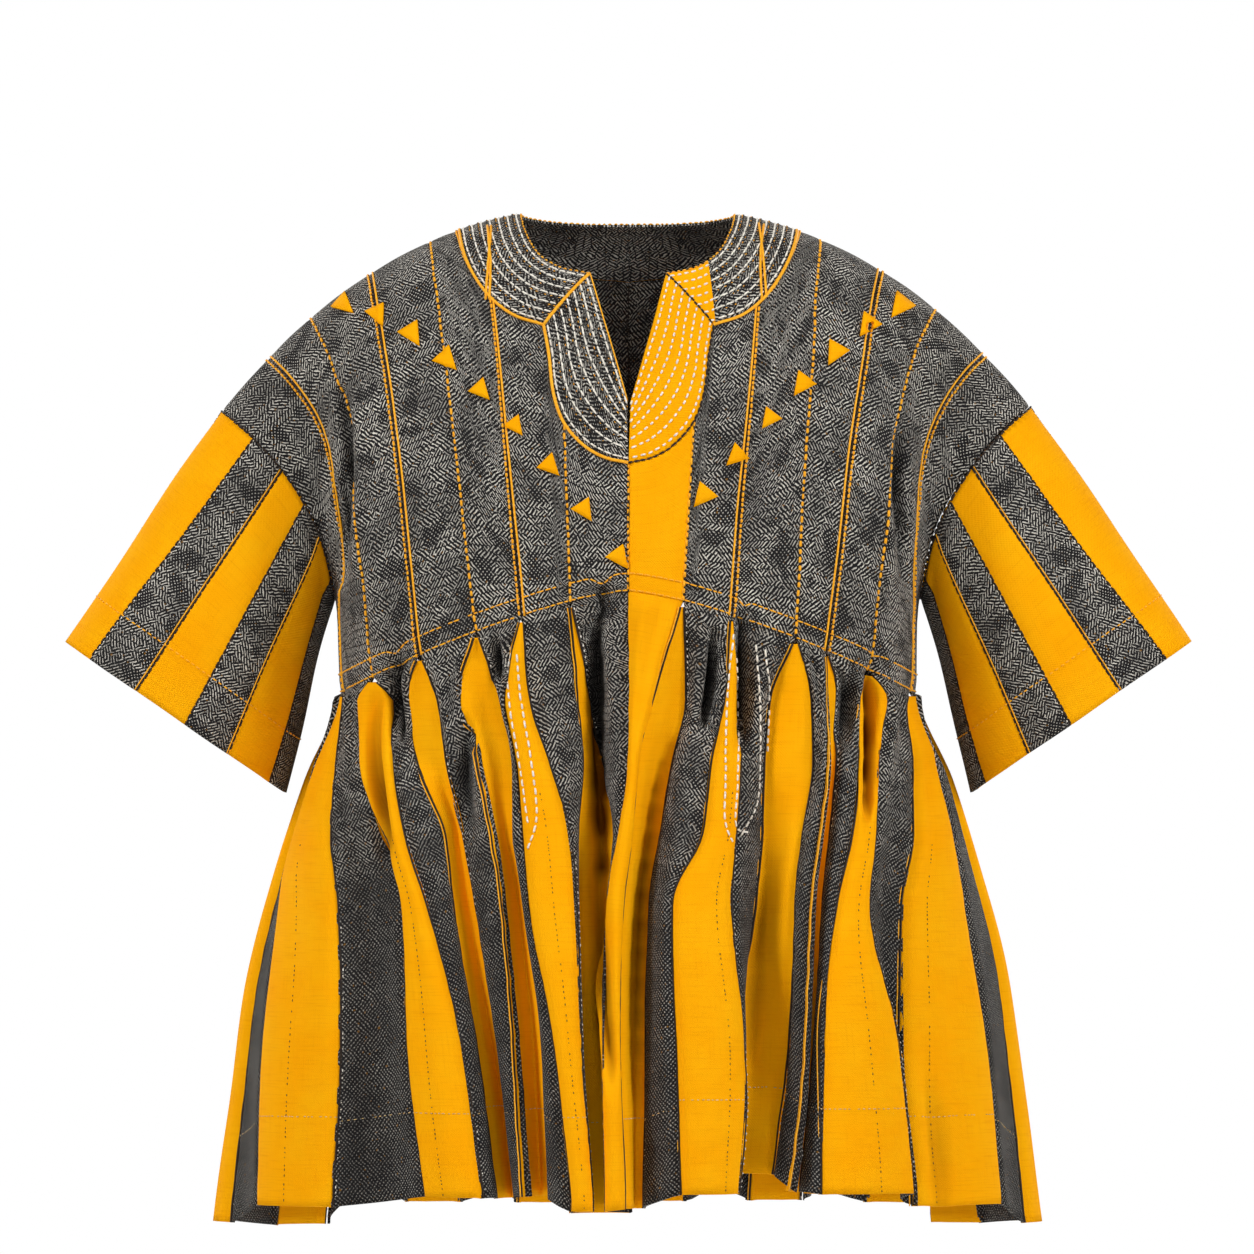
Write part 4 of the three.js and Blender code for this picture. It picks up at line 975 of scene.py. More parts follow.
def across_rows(name, start_row, distance, step=1):
    """Path across a piece, a distance along its length from a row."""
    p, n = (CLOTH[name][key][start_row::step] for key in "pn")
    down = lengths(p, 0)
    return tuple(np.array([[np.interp(distance, down[:, col], v[:, col, i]) for i in range(3)]
                           for col in range(p.shape[1])]) for v in (p, n))


def cloth_tree():
    """The outer faces of all cloth, for finding points on it."""
    verts, faces, base = [], [], 0
    for c in CLOTH.values():
        verts += c["p"].reshape(-1, 3).tolist()
        faces += (c["faces"] + base).tolist()
        base += c["p"].shape[0] * c["p"].shape[1]
    return BVHTree.FromPolygons(verts, faces)


def seen_in_front(tree, x, z):
    """Point and outward normal of the cloth at (x, z) as seen from in front."""
    hit, normal, _, _ = tree.ray_cast(Vector((x, -900, z)), Vector((0, 1, 0)))
    return hit, (normal if hit is None or normal.y < 0 else -normal)


def laid_on(tree, points, step=4.0):
    """Lays a line of (x, z) on the cloth as seen from in front."""
    line = spaced(points, max(int(flowing(points)[1][-1] / step), 3))
    found = [seen_in_front(tree, x, z) for x, z in line]
    return tuple(np.array(v) for v in zip(*(f for f in found if f[0] is not None)))


# ------------------------------------------------------------------ settings
class SmockSizes(bpy.types.PropertyGroup):
    cloth: bpy.props.FloatProperty(name="Cloth", description="Thickness of the woven cloth, in mm",
                                   default=1.4, min=0.5, max=3.0)
    hem: bpy.props.FloatProperty(name="Hem", description="Thickness of the turned hem, in mm",
                                 default=2.2, min=0.5, max=4.0)
    gap: bpy.props.FloatProperty(name="Seam gap", description="Clear gap between sewn pieces, in mm",
                                 default=0.15, min=0.0, max=1.0)
    fold: bpy.props.FloatProperty(name="Folds", description="How deep the hanging folds are, 1 is as worn",
                                  default=1.0, min=0.0, max=2.0)
    stitch: bpy.props.FloatProperty(name="Stitch", description="Radius of the seam thread, in mm",
                                    default=1.1, min=0.2, max=2.0)


class SmockColours(bpy.types.PropertyGroup):
    grey_hex: bpy.props.StringProperty(name="Grey ground", description="Ground of the grey cloth, sRGB hex",
                                       default="#0b0b0d")
    fleck_hex: bpy.props.StringProperty(name="White floats", description="White weft of the grey cloth, sRGB hex",
                                        default="#dddbd3")
    orange_hex: bpy.props.StringProperty(name="Orange cloth", description="Orange cloth, sRGB hex",
                                         default="#ffac00")
    thread_hex: bpy.props.StringProperty(name="Orange thread", description="Orange thread and cord, sRGB hex",
                                         default="#ffbe26")
    white_hex: bpy.props.StringProperty(name="White thread", description="White thread, sRGB hex",
                                        default="#fffdf6")


class Settings:
    """Reads both groups, so that the makers above need one name."""

    def __getattr__(self, name):
        scene = bpy.context.scene
        group = scene.smock_colours if name.endswith("_hex") else scene.smock_sizes
        return getattr(group, name)


SETS = Settings()


# ------------------------------------------------------------------ operators
def piece_name(side, back, k):
    """Node of the strip outside seam k, of those that stop at the neck band."""
    if side == "right" and not back and k == 0:
        return "centre_strip_front"
    return f"strip_{'back' if back else 'front'}_{side}_{k + 1}"


def strip_name(side, back, k):
    """Node of the strip outside seam k."""
    return piece_name(side, back, k) if k < 2 else f"strip_{side}_{k + 1}"


def gore_name(side, back, k):
    return f"gore_side_{side}" if k == 7 else f"gore_{'back' if back else 'front'}_{side}_{k}"


def free_share(down):
    """0 where the cloth is sewn flat, 1 where it hangs free, by the length below the yoke."""
    return np.clip(down / 45, 0, 1)


class SMOCK_OT_strips(bpy.types.Operator):
    """Body strips, from hem to hem over the shoulder or from hem to neck band"""
    bl_idname = "smock.strips"
    bl_label = "Body strips"

    def execute(self, context):
        for side in SIDES:
            for k in range(7):
                halves = {}
                for back in (False, True):
                    top, low = bodice(side, k, back), skirt(side, back, "strip", k)
                    halves[back] = (np.concatenate([top, low[1:]]), len(top) - 1)
                if k < 2:
                    for back in (False, True):
                        p, yoke_row = halves[back]
                        self.make(piece_name(side, back, k), p, [(yoke_row, 1)], side, k)
                else:
                    front, fy = halves[False]
                    behind, by = halves[True]
                    p = np.concatenate([front[::-1], behind[1:]])
                    self.make(strip_name(side, False, k), p,
                              [(len(front) - 1 - fy, -1), (len(front) - 1 + by, 1)], side, k)
        return {"FINISHED"}

    def make(self, node, p, yokes, side, k):
        orange = node == "centre_strip_front"
        hung = hang(p)
        # how far the folds sink in is kept, for the painted shade in the cloth's colour
        deep, p = sunk(p, hung), trimmed(hung, SETS.gap)
        n = normals_of(p, AXIS)
        uv = strip_uv(p)
        uv[..., 1] += 37 * k + (400 if side == "left" else 0)
        uv[..., 0] += 90 * k
        seed = LOOSE.uniform(0, 6)
        length = lengths(p, 0).mean(1)
        free = np.zeros(len(p))
        for row, step in yokes:
            free = np.maximum(free, free_share((length - length[row]) * step))
        p = sewn_relief(p, n, uv, seed, free)
        for row, step in yokes:
            p = gathers(p, n, 0.15 * k, seed, row, step)
            pinch = np.exp(-((lengths(p, 0) - lengths(p, 0)[row]) / 4.0) ** 2)
            p = p - n * (1.2 * pinch)[..., None]
        n = normals_of(p, AXIS)
        thick = np.full(len(p), SETS.cloth)
        thick[-3:] = SETS.hem
        if k >= 2:
            thick[:3] = SETS.hem
        obj = shell(f"cloth_{node}", p, n, uv, thick[:, None])
        obj.data.materials.append(orange_cotton() if orange else grey_cotton())
        mark_painted_fold_shade(obj, deep)
        CLOTH[obj.name]["yokes"] = yokes
        declare(node, p)


class SMOCK_OT_gores(bpy.types.Operator):
    """Gores that open in the strip seams below the yoke"""
    bl_idname = "smock.gores"
    bl_label = "Gores"

    def execute(self, context):
        for side in SIDES:
            for back in (False, True):
                for k in range(1, 7):
                    beside = [strip_name(side, back, k - 1), strip_name(side, back, k)]
                    self.make(skirt(side, back, "gore", k), (side, k, back), beside)
            self.make(skirt(side, False, "side", 7), (side, 7, False), [f"strip_{side}_7"])
        return {"FINISHED"}

    def make(self, p, key, neighbours):
        side, k, back = key
        node = gore_name(side, back, k)
        hung = hang(p[1:])
        # how far the folds sink in is kept, for the painted shade in the cloth's colour
        deep, p = sunk(p[1:], hung), trimmed(hung, SETS.gap)
        n = normals_of(p, AXIS)
        uv = strip_uv(p)
        uv[..., 0] += 130 * k
        seed = LOOSE.uniform(0, 6)
        p = sewn_relief(p, n, uv, seed, free_share(lengths(p, 0).mean(1)), 0.25)
        if key in PRESSED:
            top, hem, depth = PRESSED[key]
            down = np.linspace(0, 1, len(p))[:, None]
            middle = top + (hem - top) * down
            f = EDGE_STEPS[None]
            tent = np.where(f < middle, f / middle, (1 - f) / (1 - middle))
            pressed = depth * np.clip(down * 2.2, 0, 1) * tent**1.6
            p = p - n * pressed[..., None]
            # the pressed crease is darkened by painted shade as well
            deep = np.clip(deep + pressed / DEEP_FOLD, 0, 1)
        n = normals_of(p, AXIS)
        thick = np.full(len(p), SETS.cloth)
        thick[-3:] = SETS.hem
        obj = shell(f"cloth_{node}", p, n, uv, thick[:, None])
        mark_painted_fold_shade(obj, deep)
        obj.data.materials.append(orange_cotton())
        declare(node, p)


SLEEVE = {"x": 386, "y": 8, "z": -433, "half": 114, "deep": 62, "dx": 0.825, "dz": 0.566}
# widths round the cuff, from the top, down the front and up the back
SLEEVE_STRIPS = [52, 51, 51, 45, 50, 50, 44.5, 44.5, 44.5, 44.5, 44.5, 44.5]


def sleeve_grid(side, rows, cuts):
    """Points of a sleeve: rows from armhole to cuff, columns at the given shares round it."""
    q = np.linspace(0, PIT_Q, 90)
    front, behind = body(side, 7, q, False), body(side, 7, q, True)
    loop = np.concatenate([front, behind[::-1][1:]])
    length = np.concatenate([[0], np.cumsum(np.linalg.norm(np.diff(loop, axis=0), axis=1))])
    half = length[len(front) - 1]
    turn = np.where(length <= half, math.pi * length / half,
                    math.pi + math.pi * (length - half) / (length[-1] - half))
    fine = np.linspace(0, 2 * math.pi, 721)
    s = SLEEVE
    cuff_of = lambda a: np.stack([SIDES[side] * (s["x"] + s["half"] * s["dx"] * np.cos(a)),
                                  s["y"] - s["deep"] * np.sin(a), s["z"] + s["half"] * s["dz"] * np.cos(a)], -1)
    arc = np.concatenate([[0], np.cumsum(np.linalg.norm(np.diff(cuff_of(fine), axis=0), axis=1))])
    angle = np.interp(cuts, arc / arc[-1], fine)
    root = np.stack([np.interp(angle, turn, loop[:, c]) for c in range(3)], -1)
    cuff = cuff_of(angle)
    root = root + 0.8 * (cuff - root) / np.linalg.norm(cuff - root, axis=-1, keepdims=True)
    u = rows[:, None, None]
    grid = root * (1 - u) + cuff * u
    grid[..., 1] += -np.sin(angle) * 10 * np.sin(math.pi * rows)[:, None]
    return grid


class SMOCK_OT_sleeves(bpy.types.Operator):
    """Dropped sleeves, each of twelve narrow strips sewn side by side"""
    bl_idname = "smock.sleeves"
    bl_label = "Sleeves"

    def execute(self, context):
        total = sum(SLEEVE_STRIPS)
        steps = np.array([0, 0.06, 0.17, 0.3, 0.43, 0.57, 0.7, 0.83, 0.94])
        cuts, slots, edge, at = [], [], [], 0.0
        for i, wide in enumerate(SLEEVE_STRIPS):
            cuts += ((at + steps * wide) / total).tolist()
            slots += [i % 2] * len(steps)
            edge += np.minimum(steps, 1 - steps).tolist()
            at += wide
        cuts, edge = np.array(cuts), np.array(edge)
        rows = np.linspace(0, 1, 46)
        for side in SIDES:
            p = sleeve_grid(side, rows, cuts)
            centre = p.mean(1, keepdims=True)
            n = normals_of(p, (0, 0, 0), True)
            if ((p - centre) * n).sum() < 0:
                n = -n
            round_way = lengths(np.concatenate([p, p[:, :1]], 1), 1)[:, :-1]
            down = np.broadcast_to(lengths(p, 0)[:, :1], round_way.shape)
            turn = 2 * math.pi * cuts[None]
            u = rows[:, None]
            rolled = -1.0 * np.exp(-(edge[None] * 46 / 1.8) ** 2)
            slack = (2.6 * np.sin(3 * turn + 5 * u + 0.4) * np.sin(math.pi * u) * (1 - u)
                     + 1.8 * np.sin(5 * turn - 3.2 * u + (1.2 if side == "left" else 2.6)) * u
                     + 3.0 * np.exp(-((cuts[None] - 0.33 - 0.1 * u) / 0.05) ** 2) * np.exp(-(u / 0.45) ** 2)
                     - 3.6 * np.exp(-((cuts[None] - 0.43 - 0.04 * u) / 0.04) ** 2) * np.exp(-(u / 0.5) ** 2))
            p = p + n * (rolled + slack)[..., None] * np.clip(u * 12, 0.25, 1)[..., None]
            n = normals_of(p, (0, 0, 0), True)
            if ((p - centre) * n).sum() < 0:
                n = -n
            uv = np.stack([round_way, down], -1)
            thick = np.full(len(p), SETS.cloth)
            thick[-2:] = SETS.hem
            obj = shell(f"cloth_sleeve_{side}", p, n, uv, thick[:, None], True, slots)
            obj.data.materials.append(orange_cotton())
            obj.data.materials.append(grey_cotton())
            CLOTH[obj.name].update(first=len(steps), rows=rows)
            declare(f"sleeve_{side}", p, True)
        return {"FINISHED"}


BAND_ROWS = 7
COLOUR_LINE, WEDGE_ROWS = 67, 16       # where the right collar turns from orange to grey


def band_grid(side, part, rows=150, cols=29):
    inner, outer = BAND[side][part]
    share = [np.linspace(0, 1, rows)] * 2
    if (side, part) == ("right", "collar"):
        # rows fan out from the mitre's corner, so that one of them is the colour line
        line = np.argmax(inner[:, 0] >= COLOUR_LINE) / (len(inner) - 1)
        share = [np.interp(share[0], [0, WEDGE_ROWS / (rows - 1), 1], [0, s, 1]) for s in (line, 0.004)]
    inner, outer = spaced_line(inner, share[0]), spaced_line(outer, share[1])
    f = np.linspace(0, 1, cols)
    line = inner[:, None] * (1 - f[:, None]) + outer[:, None] * f[:, None]
    x, q = line[..., 0], line[..., 1] / Q_MM
    out = np.zeros((*x.shape, 3))
    for back in (False, True):
        mask = (q > 0) == back
        if mask.any():
            k = column_at(side, x[mask], np.abs(q[mask]), back)
            out[mask] = body(side, k, np.maximum(np.abs(q[mask]), 1e-5), back)
    return out, f


class SMOCK_OT_band(bpy.types.Operator):
    """Neck band: the two collar halves and the two sides of the slit"""
    bl_idname = "smock.band"
    bl_label = "Neck band"

    def execute(self, context):
        for side in SIDES:
            for part in ("collar", "placket"):
                p, f = band_grid(side, part, 150 if part == "collar" else 90)
                p = hang(p)
                n = normals_of(p, (0, 0, -300))
                for end, inner in ((0, 1), (-1, -2)):
                    v = p[inner] - p[end]
                    size = np.maximum(np.linalg.norm(v, axis=-1, keepdims=True), 1e-6)
                    p[end] += v / size * np.minimum(0.15, size * 0.4)
                quilt = 0.35 * np.cos(2 * math.pi * (f * BAND_ROWS - 0.5)) * np.clip(8 * f * (1 - f) * 2, 0, 1)
                edge = np.exp(-((1 - f) * 52 / 1.8) ** 2) + np.exp(-(f * 52 / 1.2) ** 2)
                p = p + n * (0.9 - quilt - 1.0 * edge)[None, :, None]
                p[:, -1] += (p[:, -2] - p[:, -1]) * 0.3
                n = normals_of(p, (0, 0, -300))
                uv = strip_uv(p)
                name = f"{part}_{side}"
                slots = None
                if name == "collar_right":
                    obj = self.two_colours(name, p, n, uv, WEDGE_ROWS)
                else:
                    obj = shell(f"cloth_{name}", p, n, uv, 1.8, False, slots)
                    obj.data.materials.append(orange_cotton() if name == "placket_right" else grey_cotton())
                declare(name, p)
        return {"FINISHED"}

    def two_colours(self, name, p, n, uv, cut):
        obj = shell(f"cloth_{name}", p, n, uv, 1.8)
        obj.data.materials.append(grey_cotton())
        obj.data.materials.append(orange_cotton())
        cols = p.shape[1] - 1
        rows = p.shape[0] - 1
        index = [1 if (i // cols) < cut and i // cols >= 0 else 0 for i in range(rows * cols)] * 2
        index += [0] * (len(obj.data.polygons) - len(index))
        obj.data.polygons.foreach_set("material_index", index)
        return obj


class SMOCK_OT_seams(bpy.types.Operator):
    """Orange stitching on the strip seams and the gore edges"""
    bl_idname = "smock.seams"
    bl_label = "Seam stitches"

    def execute(self, context):
        bold, fine, dark, pale = Sewing(), Sewing(), Sewing(), Sewing()
        r = SETS.stitch
        for side in SIDES:
            for back in (False, True):
                for k in range(0, 7):
                    # the strip outside seam k
                    name = "cloth_" + (piece_name(side, back, k) if k < 2 else f"strip_{side}_{k + 1}")
                    if k == 0 and side == "left":
                        continue
                    c = CLOTH[name]
                    row, step = c["yokes"][-1] if (back or k < 2) else c["yokes"][0]
                    ridge = 0 if k < 2 else (len(c["p"]) - 1) // 2
                    rows = slice(ridge, row + 1) if step > 0 else slice(ridge, row - 1, -1)
                    out_p, out_n = beside_edge(name, False, 1.6)
                    edge_p, edge_n = column(name, 0.0)
                    edge_p, edge_n, out_p, out_n = (v[rows] for v in (edge_p, edge_n, out_p, out_n))
                    double = k in (2, 4, 6) if not (side == "right" and k == 1) else False
                    cord(dark, edge_p, edge_n, 0.95, 0.0, 7, 4)
                    if k == 0:
                        running(fine, edge_p, edge_n, 4.2, 1.6, r * 0.7)
                        continue
                    if double:
                        near = beside_edge("cloth_" + (piece_name(side, back, k - 1) if k <= 2 and k - 1 < 2
                                                       else f"strip_{side}_{k}"), True, 2.4)
                        other = CLOTH["cloth_" + (piece_name(side, back, k - 1) if k <= 2 else f"strip_{side}_{k}")]
                        orow, ostep = other["yokes"][-1] if (back or k <= 2) else other["yokes"][0]
                        oridge = 0 if k <= 2 else (len(other["p"]) - 1) // 2
                        orows = slice(oridge, orow + 1) if ostep > 0 else slice(oridge, orow - 1, -1)
                        cord(bold, near[0][orows], near[1][orows], r * 0.85, 0.5)
                        far_p, far_n = beside_edge(name, False, 2.6)
                        running(bold, far_p[rows], far_n[rows], 3.4, 1.3, r * 0.85)
                    else:
                        running(bold, edge_p, edge_n, 4.8, 2.1, r)
                # gore edges: a dark cord, partly the closed seam and partly painted shadow in the seam's groove,
                # with orange thread on one side and pale flecks on the other
                for k in range(1, 8):
                    gore = f"cloth_gore_{'back' if back else 'front'}_{side}_{k}" if k < 7 else f"cloth_gore_side_{side}"
                    if k == 7 and back:
                        continue
                    for far in (False, True):
                        p, n = beside_edge(gore, far, 0.0)
                        leftmost = (far and side == "left") or (not far and side == "right")
                        cord(dark, p, n, 1.5 if back or k == 7 else 1.0, 0.0, 7, 4)
                        outward = p - beside_edge(gore, far, 2.4)[0]
                        outward /= np.maximum(np.linalg.norm(outward, axis=-1, keepdims=True), 1e-6)
                        if leftmost:
                            cord(fine, p + outward * 2.0, n, 0.62, 0.4)
                        else:
                            running(pale, p + outward * 1.9, n, 1.5, 4.6, 0.6, 0.5)
        bold.obj("seam_cords", orange_thread())
        fine.obj("gore_edge_threads", orange_thread())
        # the dark cords: dark seams, and along the gore edges painted seam shadow as well
        dark.obj("gore_edge_seams", dark_thread())
        pale.obj("gore_edge_flecks", white_thread())
        return {"FINISHED"}


class SMOCK_OT_sleeve_seams(bpy.types.Operator):
    """Threads along the sleeve strips and the cuff row"""
    bl_idname = "smock.sleeve_seams"
    bl_label = "Sleeve stitches"

    def execute(self, context):
        orange, dark, cuff = Sewing(), Sewing(), Sewing()
        for side in SIDES:
            c = CLOTH[f"cloth_sleeve_{side}"]
            per = c["first"]
            for i in range(len(SLEEVE_STRIPS)):
                p, n = c["p"][:, i * per], c["n"][:, i * per]
                running(dark, p, n, 6, 0.7, 0.85 if i else 0.4, lift=0.1)
                if i % 2 == 0 and i:
                    before = c["p"][:, i * per - 1]
                    way = before - p
                    way /= np.maximum(np.linalg.norm(way, axis=-1, keepdims=True), 1e-6)
                    cord(orange, p + way * 1.8, n, 0.6, 0.5)
                elif i not in (5, 7):
                    before = c["p"][:, i * per + 1]
                    way = before - p
                    way /= np.maximum(np.linalg.norm(way, axis=-1, keepdims=True), 1e-6)
                    running(cuff, p + way * 1.6, n, 1.6, 5.5, 0.55, 0.5)
            loop_p = np.concatenate([c["p"], c["p"][:, :1]], 1)
            loop_n = np.concatenate([c["n"], c["n"][:, :1]], 1)
            down = lengths(loop_p[::-1], 0)
            path, nrm = [], []
            for col in range(loop_p.shape[1]):
                path.append([np.interp(47, down[:, col], loop_p[::-1, col, i]) for i in range(3)])
                nrm.append([np.interp(47, down[:, col], loop_n[::-1, col, i]) for i in range(3)])
            running(orange, np.array(path), np.array(nrm), 3.2, 2.4, 0.55, 0.3)
            # the turned armhole edge
            running(dark, c["p"][0], c["n"][0], 6, 1.0, 0.8, lift=0.1)
        orange.obj("sleeve_threads", orange_thread())
        dark.obj("sleeve_seams", dark_thread())
        cuff.obj("sleeve_flecks", white_thread())
        return {"FINISHED"}


class SMOCK_OT_embroidery(bpy.types.Operator):
    """Rows of running stitch and the cords of the neck band"""
    bl_idname = "smock.embroidery"
    bl_label = "Band embroidery"

    def execute(self, context):
        white, orange, dark, cords = Sewing(), Sewing(), Sewing(), Sewing()
        for side in SIDES:
            for part in ("collar", "placket"):
                name = f"{part}_{side}"
                plain = name == "placket_right"
                c = CLOTH[f"cloth_{name}"]
                wedge = WEDGE_ROWS if name == "collar_right" else 0
                for row in range(BAND_ROWS):
                    p, n = column(f"cloth_{name}", (row + 0.5) / BAND_ROWS)
                    if plain:
                        running(white, p, n, 3.6, 2.7, 0.8, 0.2, LOOSE.uniform(0, 4))
                    else:
                        if wedge:
                            running(white, p[:wedge + 1], n[:wedge + 1], 3.6, 2.7, 0.8, 0.2)
                            p, n = p[wedge:], n[wedge:]
                        running(white, p, n, 7.2, 1.3, 0.72, 0.3, LOOSE.uniform(0, 4))
                        side_p, side_n = (v[wedge:] for v in column(f"cloth_{name}", (row + 0.82) / BAND_ROWS))
                        running(orange, side_p, side_n, 1.6, 4.4, 0.5, 0.5, LOOSE.uniform(0, 4), miss=0.45)
                        low_p, low_n = (v[wedge:] for v in column(f"cloth_{name}", (row + 1.0) / (BAND_ROWS + 0.2)))
                        running(dark, low_p, low_n, 2.4, 1.2, 0.55, 0.4)
                outer = column(f"cloth_{name}", 1.0)
                inner = column(f"cloth_{name}", 0.0)
                if plain:
                    running(dark, *outer, 5.0, 1.6, 0.8, lift=0.2)
                else:
                    cord(cords, *outer, 1.45, 0.45)
                if part == "collar":
                    running(orange, *inner, 3.0, 2.0, 0.8, 0.3)
                elif not plain:
                    cord(orange, *inner, 0.7, 0.4)
            mitre = CLOTH[f"cloth_collar_{side}"]
            cord(dark, mitre["p"][-1], mitre["n"][-1], 0.9, 0.0)
            if side == "left":
                cord(cords, mitre["p"][0], mitre["n"][0], 1.45, 0.45)
            else:
                running(dark, mitre["p"][0], mitre["n"][0], 4.5, 0.8, 0.8, lift=0.2)
        white.obj("band_white_stitches", white_thread())
        orange.obj("band_orange_stitches", orange_thread())
        dark.obj("band_dark_stitches", dark_thread())
        cords.obj("band_cords", orange_thread())
        return {"FINISHED"}


class SMOCK_OT_rows(bpy.types.Operator):
    """Two yoke rows, hem rows and the pressed creases of the gores"""
    bl_idname = "smock.rows"
    bl_label = "Yoke and hem rows"

    def execute(self, context):
        orange, pale, dark = Sewing(), Sewing(), Sewing()
        for name, c in CLOTH.items():
            if "yokes" not in c:
                continue
            for row, step in c["yokes"]:
                for lift in (1.5, 16.0):
                    p, n = across_rows(name, row, lift, -step)
                    fine = spaced_line(np.concatenate([p, n], 1), np.linspace(0, 1, 22))
                    running(orange, fine[:, :3], fine[:, 3:], 4.6, 1.3, 0.62, 0.35, LOOSE.uniform(0, 2), miss=0.04)
            if name != "cloth_centre_strip_front":
                p, n = across_rows(name, len(c["p"]) - 1, 74, -1)
                running(pale, p, n, 1.8, 3.6, 0.42, 0.5, LOOSE.uniform(0, 3), miss=0.25)
                if len(c["yokes"]) > 1:
                    p, n = across_rows(name, 0, 72, 1)
                    running(pale, p, n, 1.8, 3.6, 0.42, 0.5, LOOSE.uniform(0, 3), miss=0.25)
        for (side, k, back), (_, _, _, hem) in GORES.items():
            name = f"cloth_gore_{'back' if back else 'front'}_{side}_{k}"
            p, n = across_rows(name, len(CLOTH[name]["p"]) - 1, 72 + (k * 7 % 5) * 2, -1)
            running(pale, p, n, 2.0, 2.2, 0.5, 0.4, LOOSE.uniform(0, 3), miss=0.12)
            if (side, k, back) in PRESSED:
                c = CLOTH[name]
                top, low, _ = PRESSED[side, k, back]
                start = len(c["p"]) // 3
                path, nrm = [], []
                for r in range(start, len(c["p"])):
                    f = top + (low - top) * r / len(c["p"])
                    path.append([np.interp(f, EDGE_STEPS, c["p"][r, :, i]) for i in range(3)])
                    nrm.append([np.interp(f, EDGE_STEPS, c["n"][r, :, i]) for i in range(3)])
                running(dark, np.array(path), np.array(nrm), 1.3, 3.0, 0.42, 0.5, miss=0.2)
        orange.obj("yoke_stitches", orange_thread())
        pale.obj("hem_stitches", cotton_thread("pale_hem_thread", "#f3d9a0", "#c99a45"))
        dark.obj("crease_stitches", cotton_thread("brown_crease_thread", "#5a3000", "#3a1d00"))
        return {"FINISHED"}


# pocket openings: lines of (x, z) in mm, on the orange gores and the grey beside them
POCKET_LINES = [
    [(-97, -371), (-101, -394), (-99, -428), (-91, -473), (-84, -523)],
    [(-94, -380), (-91, -416), (-83, -462), (-77, -519), (-84, -544)],
    [(89, -363), (86, -395), (83, -442), (82, -489), (82, -523), (88, -538)],
    [(91, -383), (93, -430), (92, -489), (92, -528), (101, -530)],
    [(108, -372), (111, -407), (111, -465), (108, -507), (95, -533)],
    [(116, -376), (119, -410), (118, -462)]]
# the seam cords that run on over the collar to the neck edge, two on each side
COLLAR_TWINS = [[(-116, -17), (-118, -45), (-120.5, -80)], [(-119.5, -17), (-116.5, -45), (-117, -80)],
                [(111, -15), (114.5, -45), (117, -78)], [(115, -16), (112, -45), (113, -79)]]
# two arms of small triangles down to the slit: start, end, count and how the arm bends
TRIANGLE_ARMS = [((-241, -83), (-8, -297), 9, 1.55), ((231, -84), (64, -245), 7, 1.27)]


class SMOCK_OT_trim(bpy.types.Operator):
    """Triangle patches on the chest and the stitched pocket openings"""
    bl_idname = "smock.trim"
    bl_label = "Triangles and pockets"

    def execute(self, context):
        tree = cloth_tree()
        pocket = Sewing()
        for line in POCKET_LINES:
            p, n = laid_on(tree, line)
            if len(p) > 2:
                running(pocket, p, n, 5.6, 2.6, 0.8, 0.2, lift=0.5)
        pocket.obj("pocket_stitches", white_thread())
        twins = Sewing()
        for line in COLLAR_TWINS:
            cord(twins, *laid_on(tree, line), 1.15, 0.7)
        twins.obj("collar_twin_cords", orange_thread())
        verts, faces, uv = [], [], []
        size, steps = 10.4, 5
        for (x0, z0), (x1, z1), count, bend in TRIANGLE_ARMS:
            for i in range(count):
                s = i / (count - 1)
                x, z = x0 + (x1 - x0) * s, z0 + (z1 - z0) * s**bend
                turn = math.radians((-14 if x0 < 0 else 14) + LOOSE.uniform(-12, 12))
                grow = LOOSE.uniform(0.9, 1.12)
                corners = []
                for cx, cz in ((0.1, 1.0), (-1.0, -0.35), (0.9, -0.8)):
                    cx = cx if x0 < 0 else -cx
                    corners.append(np.array([x, z]) + size * grow * np.array(
                        [cx * math.cos(turn) - cz * math.sin(turn), cx * math.sin(turn) + cz * math.cos(turn)]))
                self.patch(tree, corners, steps, verts, faces, uv)
        obj = mesh_object("triangle_patches", verts, faces, uv)
        obj.data.materials.append(orange_cotton())
        return {"FINISHED"}

    def patch(self, tree, corners, steps, verts, faces, uv):
        a, b, c = corners
        index, base, tops, lows = {}, len(verts), [], []
        for i in range(steps + 1):
            for j in range(steps + 1 - i):
                w = (1 - i / steps - j / steps, i / steps, j / steps)
                x, z = w[0] * a + w[1] * b + w[2] * c
                hit, normal, _, _ = tree.ray_cast(Vector((x, -900, z)), Vector((0, 1, 0)))
                if hit is None:
                    return
                normal = normal if normal.y < 0 else -normal
                rim = min(w) < 1e-6
                index[i, j] = len(tops)
                tops.append(hit + normal * (2.3 if rim else 3.3))
                lows.append(hit + normal * 0.25)
                uv.append((x, z))
        uv += uv[-len(tops):]
        verts += [tuple(v) for v in tops] + [tuple(v) for v in lows]
        n = len(tops)
        for i in range(steps):
            for j in range(steps - i):
                t = [index[i, j], index[i + 1, j], index[i, j + 1]]
                faces.append(tuple(base + v for v in t))
                faces.append(tuple(base + n + v for v in t[::-1]))
                if j < steps - i - 1:
                    t = [index[i + 1, j], index[i + 1, j + 1], index[i, j + 1]]
                    faces.append(tuple(base + v for v in t))
                    faces.append(tuple(base + n + v for v in t[::-1]))
        rim = [index[i, 0] for i in range(steps + 1)] + [index[steps - j, j] for j in range(1, steps + 1)] + \
              [index[0, steps - i] for i in range(1, steps)]
        for p, q in zip(rim, rim[1:] + rim[:1]):
            faces.append((base + q, base + p, base + n + p, base + n + q))


